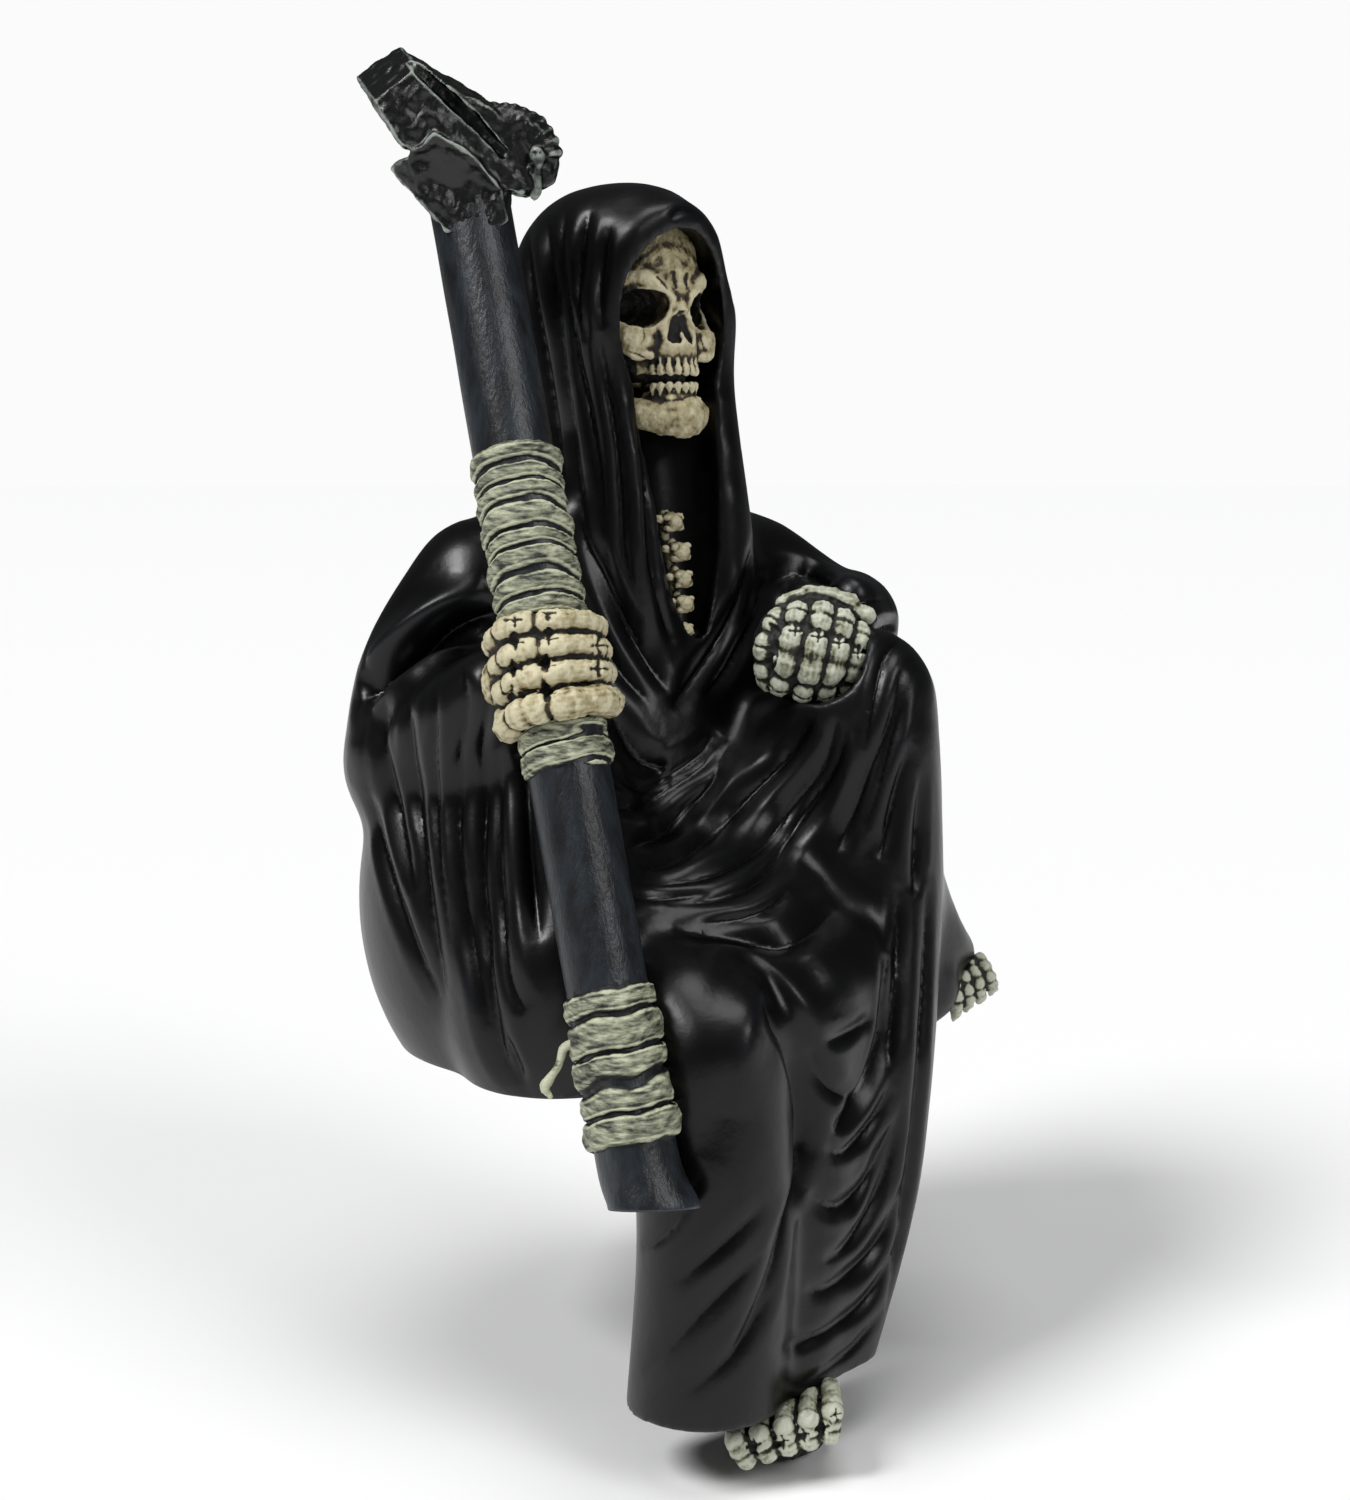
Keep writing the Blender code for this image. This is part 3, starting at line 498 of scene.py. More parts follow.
def node(tree, kind, settings=None, links=None, stops=()):
    """Adds a node with its settings, sets or links its inputs, and sets a colour ramp's stops."""
    made = tree.nodes.new(kind)
    for name, value in (settings or {}).items():
        setattr(made, name, value)
    for name, value in (links or {}).items():
        if isinstance(value, bpy.types.NodeSocket):
            tree.links.new(value, made.inputs[name])
        else:
            made.inputs[name].default_value = value
    for count, (place, colour) in enumerate(stops):
        if count >= len(made.color_ramp.elements):
            made.color_ramp.elements.new(1.0)
        made.color_ramp.elements[count].position = place
        made.color_ramp.elements[count].color = colour
    return made


# How far the patterns are turned off the axes
PATTERN_TURN = (math.radians(21.7), math.radians(-4.3), 0.0)
# The index of refraction of acrylic paint, clean and dulled by handling
PAINT_IOR, DULLED_PAINT_IOR = 1.5, 1.38


def painted(name, washes_and_shade, ground, drybrush_and_highlight, washes_and_shade_at, drybrush_and_highlight_at, roughness, mottle, grit, stretch=1.0):
    """Paint over cast resin: washes and painted shade in the hollows, a ground coat, and a drybrushed high
    coat on the crests, which on the robe is a faint painted highlight.

    The colours are hex: first that of the washes and painted shade, then the ground (upper and lower), then
    the high coat; the two pairs after them are where the ramp changes; roughness is for the crests and the
    hollows;
    mottle is the size in millimetres and strength of the cloudy change, and grit that of the bumps; stretch
    squeezes both upright, which leaves level streaks above 1 and upright ones below it. Where the piece's
    pool value is set, the colour moves towards the washes and painted shade."""
    finish = bpy.data.materials.new(name)
    finish.use_nodes = True
    tree = finish.node_tree
    shader = tree.nodes["Principled BSDF"]
    place = node(tree, "ShaderNodeTexCoord").outputs["Object"]
    turned = {"Vector": place, "Rotation": PATTERN_TURN, "Scale": (1.0, 1.0, stretch)}
    place = node(tree, "ShaderNodeMapping", None, turned).outputs["Vector"]
    fine = node(tree, "ShaderNodeAttribute", {"attribute_name": "hollow_fine"}).outputs["Fac"]
    broad = node(tree, "ShaderNodeAttribute", {"attribute_name": "hollow_broad"}).outputs["Fac"]
    washed_and_shaded = node(tree, "ShaderNodeAttribute", {"attribute_name": "washed_and_shaded"}).outputs["Fac"]
    both = node(tree, "ShaderNodeMath", {"operation": "ADD"}, {0: fine, 1: broad}).outputs[0]
    depth = node(tree, "ShaderNodeMath", {"operation": "MULTIPLY"}, {0: both, 1: 0.5}).outputs[0]
    clouds = {"Vector": place, "Scale": 1000 / mottle[0], "Detail": 6.0, "Roughness": 0.62}
    cloud = node(tree, "ShaderNodeTexNoise", None, clouds).outputs["Fac"]
    about_nought = {0: cloud, 1: mottle[1], 2: -mottle[1] / 2}
    shift = node(tree, "ShaderNodeMath", {"operation": "MULTIPLY_ADD"}, about_nought).outputs[0]
    level = node(tree, "ShaderNodeMath", {"operation": "ADD"}, {0: depth, 1: shift}).outputs[0]
    level = node(tree, "ShaderNodeMath", {"operation": "SUBTRACT"}, {0: level, 1: washed_and_shaded}).outputs[0]
    # The ramp runs from wash and painted shade in the hollows and pools, through the ground coat, to the high
    # coat on the crests, a painted highlight on the robe
    colours = (linear(washes_and_shade), linear(ground[1]), linear(ground[0]), linear(drybrush_and_highlight))
    coats = tuple(zip((*washes_and_shade_at, *drybrush_and_highlight_at), colours))
    colour = node(tree, "ShaderNodeValToRGB", None, {0: level}, coats)
    tree.links.new(colour.outputs["Color"], shader.inputs["Base Color"])
    ends = ((washes_and_shade_at[0], roughness[1]), (drybrush_and_highlight_at[1], roughness[0]))
    sheen = tuple((at, (value, value, value, 1.0)) for at, value in ends)
    gloss = node(tree, "ShaderNodeValToRGB", None, {0: level}, sheen)
    tree.links.new(gloss.outputs["Color"], shader.inputs["Roughness"])
    shader.inputs["Metallic"].default_value = 0.0
    shader.inputs["IOR"].default_value = PAINT_IOR
    grains = {"Vector": place, "Scale": 1000 / grit[0], "Detail": 4.0, "Roughness": 0.6}
    rough = node(tree, "ShaderNodeTexNoise", None, grains).outputs["Fac"]
    bumps = {"Strength": grit[1], "Distance": grit[0] * MILLIMETRE * 0.5, "Height": rough}
    bump = node(tree, "ShaderNodeBump", None, bumps).outputs["Normal"]
    tree.links.new(bump, shader.inputs["Normal"])
    return finish


# Gloss black acrylic paint over cast resin: deep black, with painted shade in the hollows and a faint cool
# painted highlight on the folds' crests
ROBE_PAINT = painted(
    "gloss_black_painted_resin", "#010101", ("#050506", "#030304"), "#0f1013",
    (0.3, 0.42), (0.58, 0.8), (0.35, 0.27), (9.0, 0.16), (1.6, 0.06),
)
# The paint has dulled with handling, so it throws back less than clean acrylic would
ROBE_PAINT.node_tree.nodes["Principled BSDF"].inputs["IOR"].default_value = DULLED_PAINT_IOR
# Cream acrylic over resin with a brown-black wash in the hollows, as on antique bone, darkened there as
# painted shade too
BONE_PAINT = painted(
    "washed_and_shaded_bone_painted_resin", "#0a0704", ("#a3966f", "#3f3420"), "#d3cbaa",
    (0.33, 0.46), (0.54, 0.7), (0.45, 0.6), (1.9, 0.62), (0.5, 0.8),
)
# The left hand and the feet are paler and greyer, with the same wash and painted shade in the hollows
PALE_BONE_PAINT = painted(
    "washed_and_shaded_grey_bone_painted_resin", "#070604", ("#85866b", "#2b2a1a"), "#c3c6b4",
    (0.34, 0.48), (0.55, 0.72), (0.45, 0.6), (1.9, 0.8), (0.5, 0.7),
)
# Grey-green bound strips, dry-brushed pale over a nearly black ground, with wash and painted shade in the
# hollows
WRAP_PAINT = painted(
    "dry_brushed_strip_painted_resin", "#030404", ("#70745f", "#1a1d1c"), "#c2c4a8",
    (0.32, 0.45), (0.54, 0.7), (0.4, 0.55), (3.2, 0.8), (0.9, 0.6), 4.0,
)
# Black shaft, dry-brushed with blue-grey, with painted shade in its hollows
SHAFT_PAINT = painted(
    "dry_brushed_black_painted_resin", "#030404", ("#0b0d10", "#07080a"), "#272e35",
    (0.3, 0.45), (0.5, 0.72), (0.34, 0.4), (3.0, 0.7), (0.7, 0.4), 0.3,
)
# Dark gunmetal paint, its edges dry-brushed with silver, with painted shade in its hollows
HEAD_PAINT = painted(
    "silver_brushed_gunmetal_painted_resin", "#020302", ("#0b0d0c", "#060706"), "#98a198",
    (0.3, 0.44), (0.68, 0.92), (0.24, 0.34), (5.0, 0.4), (0.7, 0.3),
)


# Robe

# Level ovals: x, y, z, half width and half depth
TRUNK_SECTIONS = (
    (-1, 46, -6, 36, 26), (-1, 47, 4, 42.5, 32.5), (-3, 48, 20, 45, 34), (-3, 50, 36, 43.5, 32),
    (-2, 51, 52, 40.5, 28.5), (-1, 52, 66, 37.5, 24.5), (0, 52, 78, 35, 20), (0, 52, 88, 28, 17),
    (0, 52, 97, 14, 13),
)
LEFT_SKIRT_SECTIONS = (
    (21, 18, -6, 14, 17), (21, 17, 2, 15.5, 18), (19, 17, 14, 14.5, 17.5), (17, 18, 30, 13.5, 17),
    (16, 18, 46, 12, 14),
)
HOOD_SECTIONS = (
    (0, 54, 76, 24, 22), (0, 53.5, 88, 20.5, 20.5), (0, 52.5, 100, 18, 18.5), (0, 52, 112, 18, 18.5),
    (0, 51.5, 124, 18.4, 19.5), (0, 51.2, 134, 16.8, 19), (0, 50.5, 140.5, 13, 16), (0, 50, 144, 8.5, 11.5),
    (0, 49.5, 145.8, 3, 5),
)
# The hood's rim and the edge of the cowl below it, left half: x, y, z and radius. The right half mirrors it.
RIM = (
    (0, 33.2, 140.2, 2.2), (6.2, 34.4, 138, 2.2), (10.8, 36.4, 131.8, 2.3), (12.9, 37.4, 124, 2.4),
    (11.7, 37.0, 112, 2.6), (10.4, 34.0, 98, 2.9), (9.6, 31.6, 84, 3.1), (8.2, 30.6, 73, 3.2),
    (4.6, 31.4, 65.5, 3.2), (0, 32.0, 61, 3.0),
)


def robe_masses(clay):
    """The cloth-covered body: trunk, hood, sleeves, thighs, knees and the hanging hem."""
    loft(clay, TRUNK_SECTIONS)
    limb(clay, [(-30, 51, 76), (0, 52, 80), (31, 50, 76)], [12.5, 14.5, 12.0])
    loft(clay, HOOD_SECTIONS)
    for side in (-1, 1):
        limb(clay, [(side * x, y, z) for x, y, z, _ in RIM], [r for _, _, _, r in RIM])
        behind = [(side * (x * 1.12 + 1), y + 4.5, z) for x, y, z, _ in RIM[3:9]]
        limb(clay, behind, [4.0, 4.2, 5.0, 6.0, 6.0, 5.0])
    # Right sleeve
    limb(clay, [(-30, 51, 77), (-37, 54, 62), (-39, 52, 48)], [12.0, 13.5, 16.0])
    limb(clay, [(-40, 48, 50), (-44, 34, 56), (-45, 24, 62)], [14.0, 11.0, 8.5])
    ball(clay, (-34, 38, 24), (22.5, 31, 36))
    ball(clay, (-37, 21, 14), (18.5, 19, 24))
    # Left arm along the thigh
    limb(clay, [(31, 50, 76), (37, 39, 69), (31, 24, 69)], [12.0, 11.0, 10.0])
    ball(clay, (25, 20, 71), (9.5, 9.5, 8.0), (0, 0, -35))
    # Raised left thigh, and the cloth that falls from its knee
    limb(clay, [(13, 45, 26), (15, 22, 42), (16, 7, 55)], [15.0, 14.0, 13.0])
    ball(clay, (17, 5, 56), (12.5, 12.5, 15.0))
    limb(clay, [(16.5, 4, 52), (15.5, 1, 26), (8.5, -7, 0)], [12.5, 12.0, 10.0])
    limb(clay, [(8.5, -7, 0), (5.5, -8, -23), (-5.0, -8.5, -50)], [10.0, 8.8, 8.4])
    # Lap
    ball(clay, (-8, 19, 21), (30, 25, 17))
    # Cloth drawn from the lap up to the raised knee, and its flap over the left foot
    for spots, radii in (
        (((690, 792, 369.5), (745, 798, 368.5), (800, 788, 367.0), (838, 760, 364.5)), [7.5, 8.0, 8.5, 8.5]),
        (((735, 850, 362.0), (790, 852, 363.0), (835, 835, 363.5)), [6.5, 6.5, 7.0]),
        (((915, 880, 372.0), (938, 925, 378.0), (958, 955, 385.0)), [5.5, 4.6, 4.2]),
    ):
        limb(clay, [sighted(*spot) for spot in spots], radii)
    # Right thigh, bent knee and hanging shin
    limb(clay, [(-20, 42, 14), (-29, -3, 10)], [16.0, 14.5])
    ball(clay, (-29.0, -5.6, 9.5), (13.3, 13.3, 13.0))
    limb(clay, [(-29.5, -8, 8), (-30.5, -11, -20), (-32, -10, -52)], [13.0, 12.4, 12.6])
    limb(clay, [(-10, -5, 12), (-12, -8, -20), (-17, -9, -52)], [13.0, 10.5, 10.5])
    limb(clay, [(0, -3, 14), (-3, -6.5, -16), (-9, -8.5, -50)], [12.0, 10.0, 9.0])
    # Left skirt
    loft(clay, LEFT_SKIRT_SECTIONS)
    limb(clay, [(24, 8, 22), (27, 5, 12), (29, 2.5, 7)], [9.5, 9.0, 7.5])


def hood_hollow(clay):
    """The space inside the hood and down the open front of the cowl."""
    ball(clay, (0, 38, 121.5), (11.8, 12.5, 16.6))
    ball(clay, (0, 30, 121), (10.9, 13, 16.2))
    limb(clay, [(0, 35, 110), (0, 33.5, 96), (0, 32, 82), (0, 31.5, 70)], [9.4, 7.9, 6.6, 3.6])
    limb(clay, [(0, 24, 110), (0, 23, 96), (0, 22, 82), (0, 24, 70)], [9.6, 8.1, 6.8, 3.4])


# Folds drawn on the sheet: points, then width and depth in millimetres and how sharp the line is.
# A negative depth raises a crest.
VALLEY, NARROW = (1.6, 1.9, 1.05), (1.25, 1.6, 1.0)
CREASE, DEEP = (0.9, 1.0, 1.0), (1.9, 3.2, 1.0)
HOOD_FOLDS = (
    ([(530, 215), (528, 260), (534, 310), (545, 370), (556, 440), (566, 520)], NARROW),
    ([(548, 212), (548, 260), (553, 310), (560, 370), (570, 430), (580, 500)], VALLEY),
    ([(566, 205), (560, 250), (564, 300), (574, 350), (588, 410), (600, 470), (606, 560)], VALLEY),
    ([(590, 208), (580, 250), (578, 300), (585, 345)], NARROW),
    ([(608, 225), (603, 262), (601, 300), (604, 330)], CREASE),
    ([(596, 330), (606, 380), (616, 430), (622, 492), (626, 558), (642, 612)], NARROW),
    ([(634, 410), (645, 462), (651, 520), (657, 590)], CREASE),
    # A chip in the rim
    ([(670, 219), (683, 208), (697, 213)], (0.7, 0.8, 1.0)),
)
CAPE_FOLDS = (
    ([(580, 480), (584, 534), (606, 579), (630, 627), (654, 668), (670, 694)], VALLEY),
    ([(562, 520), (572, 570), (592, 620), (620, 668), (650, 705)], NARROW),
    ([(648, 480), (652, 560), (666, 622), (675, 646)], CREASE),
    ([(611, 710), (638, 751), (659, 764), (672, 764)], DEEP),
    ([(753, 547), (745, 592), (721, 641), (694, 678), (672, 710)], VALLEY),
    ([(768, 575), (756, 620), (732, 662), (702, 700)], NARROW),
)
LAP_FOLDS = (
    ([(605, 772), (648, 788), (678, 769), (705, 748), (716, 730)], VALLEY),
    ([(608, 806), (640, 806), (675, 786), (704, 762), (720, 742)], NARROW),
    ([(620, 852), (662, 833), (690, 804), (712, 777), (730, 737)], VALLEY),
    ([(632, 870), (676, 858), (731, 811), (763, 779), (792, 748), (815, 718)], VALLEY),
    ([(632, 886), (710, 873), (763, 842), (794, 801), (820, 765), (838, 716)], VALLEY),
    ([(660, 904), (720, 896), (765, 872), (797, 822), (830, 774), (848, 730)], VALLEY),
    ([(632, 900), (710, 890)], CREASE),
    ([(760, 592), (801, 566), (831, 580), (863, 597), (903, 601)], DEEP),
)
KNEE_FOLDS = (
    ([(905, 633), (887, 654), (876, 694), (863, 753)], NARROW),
    ([(903, 667), (892, 721), (868, 775), (848, 822), (836, 852)], VALLEY),
    ([(911, 683), (892, 748), (877, 798), (864, 832)], CREASE),
    ([(922, 769), (919, 855), (914, 898)], NARROW),
    ([(912, 742), (893, 812), (880, 862)], VALLEY),
    ([(878, 618), (890, 622), (904, 618)], CREASE),
    ([(872, 628), (888, 628), (904, 624)], CREASE),
)
LOWER_FOLDS = (
    ([(670, 927), (716, 933), (775, 941), (810, 930), (836, 908)], (2.2, 2.0, 1.1)),
    ([(697, 922), (760, 913), (791, 892)], CREASE),
    ([(697, 953), (736, 953), (775, 976), (799, 1004), (822, 1039), (850, 1080)], (2.6, -1.7, 1.8)),
    ([(758, 965), (750, 1010), (744, 1060), (738, 1120)], (2.8, -1.3, 1.8)),
    ([(758, 1000), (789, 1050), (802, 1115), (795, 1194), (775, 1272), (735, 1360)], (2.0, 2.2, 1.05)),
    ([(889, 950), (887, 1030), (872, 1080), (852, 1116), (834, 1134)], (1.6, 3.4, 1.0)),
    ([(818, 1041), (850, 1034), (876, 1016)], NARROW),
    ([(806, 1046), (830, 1086), (862, 1100)], NARROW),
    ([(822, 1148), (848, 1152), (876, 1122), (893, 1085)], NARROW),
    ([(809, 1190), (838, 1208), (868, 1186), (897, 1120)], (1.6, 2.2, 1.0)),
    ([(822, 1264), (854, 1240), (886, 1180), (903, 1110)], NARROW),
    ([(804, 1292), (840, 1284), (880, 1246), (908, 1180)], VALLEY),
    ([(778, 1350), (830, 1331), (872, 1296), (905, 1235)], NARROW),
    ([(800, 1385), (850, 1352), (885, 1310)], CREASE),
    ([(899, 880), (899, 998), (890, 1090)], NARROW),
    ([(928, 880), (926, 998), (918, 1115), (903, 1233), (887, 1311)], NARROW),
    ([(671, 1286), (728, 1241), (768, 1203)], (1.3, 0.9, 1.0)),
    ([(640, 1376), (709, 1306), (770, 1250)], (1.6, 1.1, 1.0)),
    ([(684, 1396), (738, 1350), (776, 1292)], (1.3, 0.9, 1.0)),
    ([(640, 1250), (668, 1230), (700, 1180)], CREASE),
    ([(705, 1162), (728, 1100), (752, 1037)], (3.2, 0.7, 2.0)),
)
SLEEVE_FOLDS = (
    ([(360, 700), (374, 682), (409, 656), (451, 629), (497, 612)], (2.2, 6.0, 0.95)),
    ([(366, 664), (405, 632), (448, 604), (490, 590)], (3.2, -2.6, 1.8)),
    ([(372, 708), (410, 684), (455, 656), (492, 642)], (2.4, -2.6, 1.8)),
    ([(390, 700), (380, 735), (386, 775), (403, 847), (413, 897)], VALLEY),
    ([(407, 700), (409, 751), (417, 828), (432, 943), (445, 996)], VALLEY),
    ([(368, 790), (384, 865), (407, 935), (440, 1000)], VALLEY),
    ([(462, 668), (462, 713), (455, 828), (466, 943), (485, 1038)], VALLEY),
    ([(436, 690), (434, 760), (438, 860), (450, 950)], CREASE),
    ([(489, 650), (482, 751), (478, 904), (493, 1038), (520, 1088)], (2.0, 3.0, 1.0)),
    ([(504, 732), (497, 828), (504, 962), (524, 1015)], VALLEY),
    ([(524, 744), (531, 866), (539, 943)], VALLEY),
    ([(504, 1038), (524, 1088)], CREASE),
)
# Folds on the sides not shown, dropped onto the cloth from far out: points, then width, depth and sharpness.
# A back fold has its foot at x and runs up to the hood, its share of x and its height given for each point.
FROM_BEHIND, FROM_LEFT = np.array([0.0, 1.0, 0.0]), np.array([1.0, 0.0, 0.0])
BACK_SPREAD = ((0.26, 132), (0.3, 112), (0.42, 93), (0.72, 66), (0.93, 35))
BACK_FOLDS = tuple(
    ([*((x * spread, 0, z) for spread, z in BACK_SPREAD), (x, 0, foot)], fold)
    for x, foot, fold in (
        (-37, 10, (2.2, 1.8, 1.1)),
        (-27, 4, (3.0, 2.2, 1.3)),
        (-18, 12, (1.8, 1.6, 1.1)),
        (-7, 4, (2.6, 2.2, 1.2)),
        (3, 8, (1.8, 1.6, 1.1)),
        (13, 3, (3.0, 2.4, 1.3)),
        (24, 10, (1.9, 1.7, 1.1)),
        (35, 5, (2.6, 2.0, 1.2)),
    )
)
LEFT_FOLDS = (
    ([(0, 60, 66), (0, 62, 40), (0, 64, 6)], (2.6, 1.8, 1.2)),
    ([(0, 51, 60), (0, 52, 36), (0, 53, 5)], (1.9, 1.5, 1.1)),
    ([(0, 40, 58), (0, 39, 34), (0, 41, 6)], (2.8, 2.0, 1.3)),
    ([(0, 29, 58), (0, 27, 32), (0, 30, 5)], (1.9, 1.5, 1.1)),
    ([(0, 2, 62), (0, 8, 40), (0, 17, 8)], (2.4, 1.8, 1.2)),
    ([(0, -4, 52), (0, 1, 32), (0, 7, 12)], (1.8, 1.4, 1.1)),
    ([(0, 60, 78), (0, 48, 68), (0, 34, 66), (0, 24, 70)], (2.2, 1.6, 1.2)),
    ([(0, 50, 84), (0, 42, 75), (0, 30, 73)], (1.7, 1.3, 1.1)),
    ([(0, 44, 136), (0, 42, 114), (0, 41, 92)], (1.9, 1.4, 1.1)),
    ([(0, 53, 138), (0, 54, 114), (0, 57, 90)], (2.4, 1.6, 1.2)),
    ([(0, 61, 130), (0, 63, 110), (0, 67, 92)], (1.9, 1.4, 1.1)),
)


# Grid sizes of the robe's skin, in millimetres: for its masses, for its hollows and for its folds
MASS_GRAIN, HOLLOW_GRAIN, FOLD_GRAIN = 2.0, 1.1, 0.62
# The hem's slope, and the hollow inside it as level ovals
HEM_AXES = ((1, 0, -0.02), (0, 1, -0.05), (0.02, 0.05, 1))
HEM_HOLLOW = (
    (-22, -9.5, -54, 17, 7), (-22, -9.5, -47, 16, 6.6), (-22, -9.5, -43, 12, 4), (-22, -9.5, -41, 4, 1.5),
)


def make_robe():
    """The cloth: masses fused and softened, hollows cut out, folds carved, and its underside cut flat."""
    clay = []
    robe_masses(clay)
    robe = fuse(object_of("robe", clay), MASS_GRAIN, 9)
    fuse(robe, HOLLOW_GRAIN, 3)
    space = []
    hood_hollow(space)
    cut(robe, fuse(object_of("hood_hollow", space), HOLLOW_GRAIN, 4))
    # The hem, cut off a little lower behind and on the left, and hollow inside
    below = []
    block(below, (-15, -5, -68), (120, 90, 40), HEM_AXES, 0.001)
    loft(below, HEM_HOLLOW, 36)
    cut(robe, object_of("below_hem", below))
    # The place on the knee where the left hand lies
    rest = []
    limb(rest, [sighted(812, 650, 366.0), sighted(812, 650, 340.0)], [8.9, 9.0], 40)
    cut(robe, object_of("hand_space", rest))
    fuse(robe, FOLD_GRAIN, 2)
    lines = marks_on(robe, HOOD_FOLDS + CAPE_FOLDS + LAP_FOLDS + KNEE_FOLDS + LOWER_FOLDS + SLEEVE_FOLDS)
    lines += marks_on(robe, BACK_FOLDS, FROM_BEHIND) + marks_on(robe, LEFT_FOLDS, FROM_LEFT)
    carve(robe, lines, 6.0)
    # The shelf's space: flat under the seat and behind the hanging leg
    shelf = []
    block(shelf, (0, 100, -100), (200, 200, 200), np.eye(3), 0.0001)
    cut(robe, object_of("shelf_space", shelf))
    return finished(robe, ROBE_PAINT, WIDE_HOLLOWS)


# Skull


# Points along the brow and along the rim of the nose opening, left half
BROW = ((10.2, 42.6, 126.4), (8.6, 38.8, 128.2), (5.6, 35.9, 128.5), (2.9, 34.5, 126.3), (1.3, 33.9, 124.4))
NOSE_RIM = ((1.2, 34.1, 124.6), (2.7, 34.4, 121.6), (3.1, 34.1, 118.4), (1.8, 33.5, 116.8))


def make_skull():
    """Cranium, brow, cheekbones and jaws in one skin, with sockets, nose and cheeks cut out."""
    clay = []
    ball(clay, (0, 47, 126.5), (11.2, 14.0, 13.2))
    ball(clay, (0, 40.8, 132.0), (8.8, 5.4, 7.4))
    ball(clay, (0, 41.0, 119.5), (9.6, 7.0, 9.6))
    ball(clay, (0, 36.9, 116.9), (5.0, 5.1, 4.4))
    for side in (-1, 1):
        # Angry brow: level at its outer half, then dropping steeply to the nose
        limb(clay, [(side * x, y, z) for x, y, z in BROW], [0.7, 1.1, 1.7, 1.6, 1.0])
        # Folds of the frown between the brows
        frown = [(side * 1.0, 35.2, 127.2), (side * 1.7, 35.5, 129.0), (side * 3.2, 35.9, 131.0)]
        limb(clay, frown, [0.6, 0.6, 0.3])
        # Outer and lower rim of the socket, and the broad cheekbone
        outer = [(side * 10.2, 41.8, 126.6), (side * 10.2, 40.8, 123.4), (side * 9.0, 38.6, 120.6)]
        limb(clay, outer, [0.9, 1.0, 1.3])
        lower = [(side * 9.0, 38.6, 120.6), (side * 6.2, 36.4, 119.5), (side * 3.4, 34.9, 120.4)]
        limb(clay, lower, [1.2, 1.2, 0.8])
        ball(clay, (side * 6.9, 37.7, 118.1), (4.0, 3.4, 3.3), (0, side * -20, side * 20))
        cheek = [(side * 9.6, 38.6, 118.4), (side * 8.4, 36.2, 116.4), (side * 5.6, 34.9, 115.7)]
        limb(clay, cheek, [1.1, 1.25, 1.0])
        limb(clay, [(side * 9.8, 38.4, 119.2), (side * 11.0, 45.0, 120.0)], [1.4, 1.4])
        # Jaw branch and jaw body
        limb(clay, [(side * 9.6, 45.5, 115.0), (side * 8.8, 41.5, 107.2)], [1.9, 2.2])
        jaw = [(side * 8.8, 41.5, 107.2), (side * 6.0, 37.0, 106.0), (side * 3.0, 34.4, 105.4)]
        limb(clay, jaw, [2.2, 2.6, 2.9])
        # Sides of the nose opening
        limb(clay, [(side * x, y, z) for x, y, z in NOSE_RIM], [0.8, 0.8, 0.7, 0.6], 14)
    limb(clay, [(0, 35.6, 127.6), (0, 34.4, 125.6), (0, 33.3, 123.4)], [1.3, 1.2, 1.0])
    # Square chin with a rounded front
    ball(clay, (0, 36.6, 108.8), (4.7, 4.8, 2.0))
    block(clay, (0, 34.2, 105.8), (8.2, 5.2, 6.8), np.eye(3), 0.3)
    ball(clay, (0, 32.6, 105.6), (4.2, 2.4, 3.8))
    skull = fuse(object_of("skull", clay), 0.42, 5)
    space = []
    for side in (-1, 1):
        ball(space, (side * 6.1, 36.6, 123.6), (3.9, 6.6, 3.2), (0, side * 22, side * -14))
        ball(space, (side * 10.4, 38.5, 112.2), (3.8, 6.4, 3.4))
        ball(space, (side * 12.4, 42.0, 125.0), (2.2, 3.6, 4.0))
        limb(space, [(side * 0.8, 33.6, 121.6), (side * 1.5, 33.2, 118.9)], [1.2, 1.4])
    limb(space, [(0, 33.2, 123.0), (0, 32.8, 120.8)], [0.8, 1.3])
    ball(space, (0, 31.4, 112.2), (5.4, 4.4, 2.6))
    cut(skull, fuse(object_of("skull_hollows", space), 0.3, 1))
    # Teeth: two curved rows of short pegs with slight root ridges, in front of a mass that fills the mouth,
    # painted dark as shade
    teeth = []
    for root, gum, tip, size in ((115.8, 114.1, 113.0, 0.68), (108.8, 110.1, 110.9, 0.62)):
        for k in range(9):
            turn = math.radians(-76 + 19 * k)
            for low, high, out, thick in ((root, gum, 4.3, 0.5), (gum, tip, 4.55, 1.0)):
                start = (4.6 * math.sin(turn), 36.7 - out * math.cos(turn), low)
                end = (4.55 * math.sin(turn), 36.6 - 4.6 * math.cos(turn), high)
                widths = [size * thick * f for f in (0.8, 1.0, 0.92)]
                limb(teeth, [start, along_line(start, end, 0.5), end], widths, 12)
    ball(teeth, (0, 38.2, 112.0), (3.7, 4.0, 4.4))
    # Small spine at the nose's foot
    limb(teeth, [(0, 33.2, 116.6), (0, 32.8, 118.0), (0, 33.2, 119.6)], [0.8, 0.5, 0.3], 10)
    both = joined("skull", [skull, object_of("teeth", teeth)])
    fuse(both, 0.27, 1)
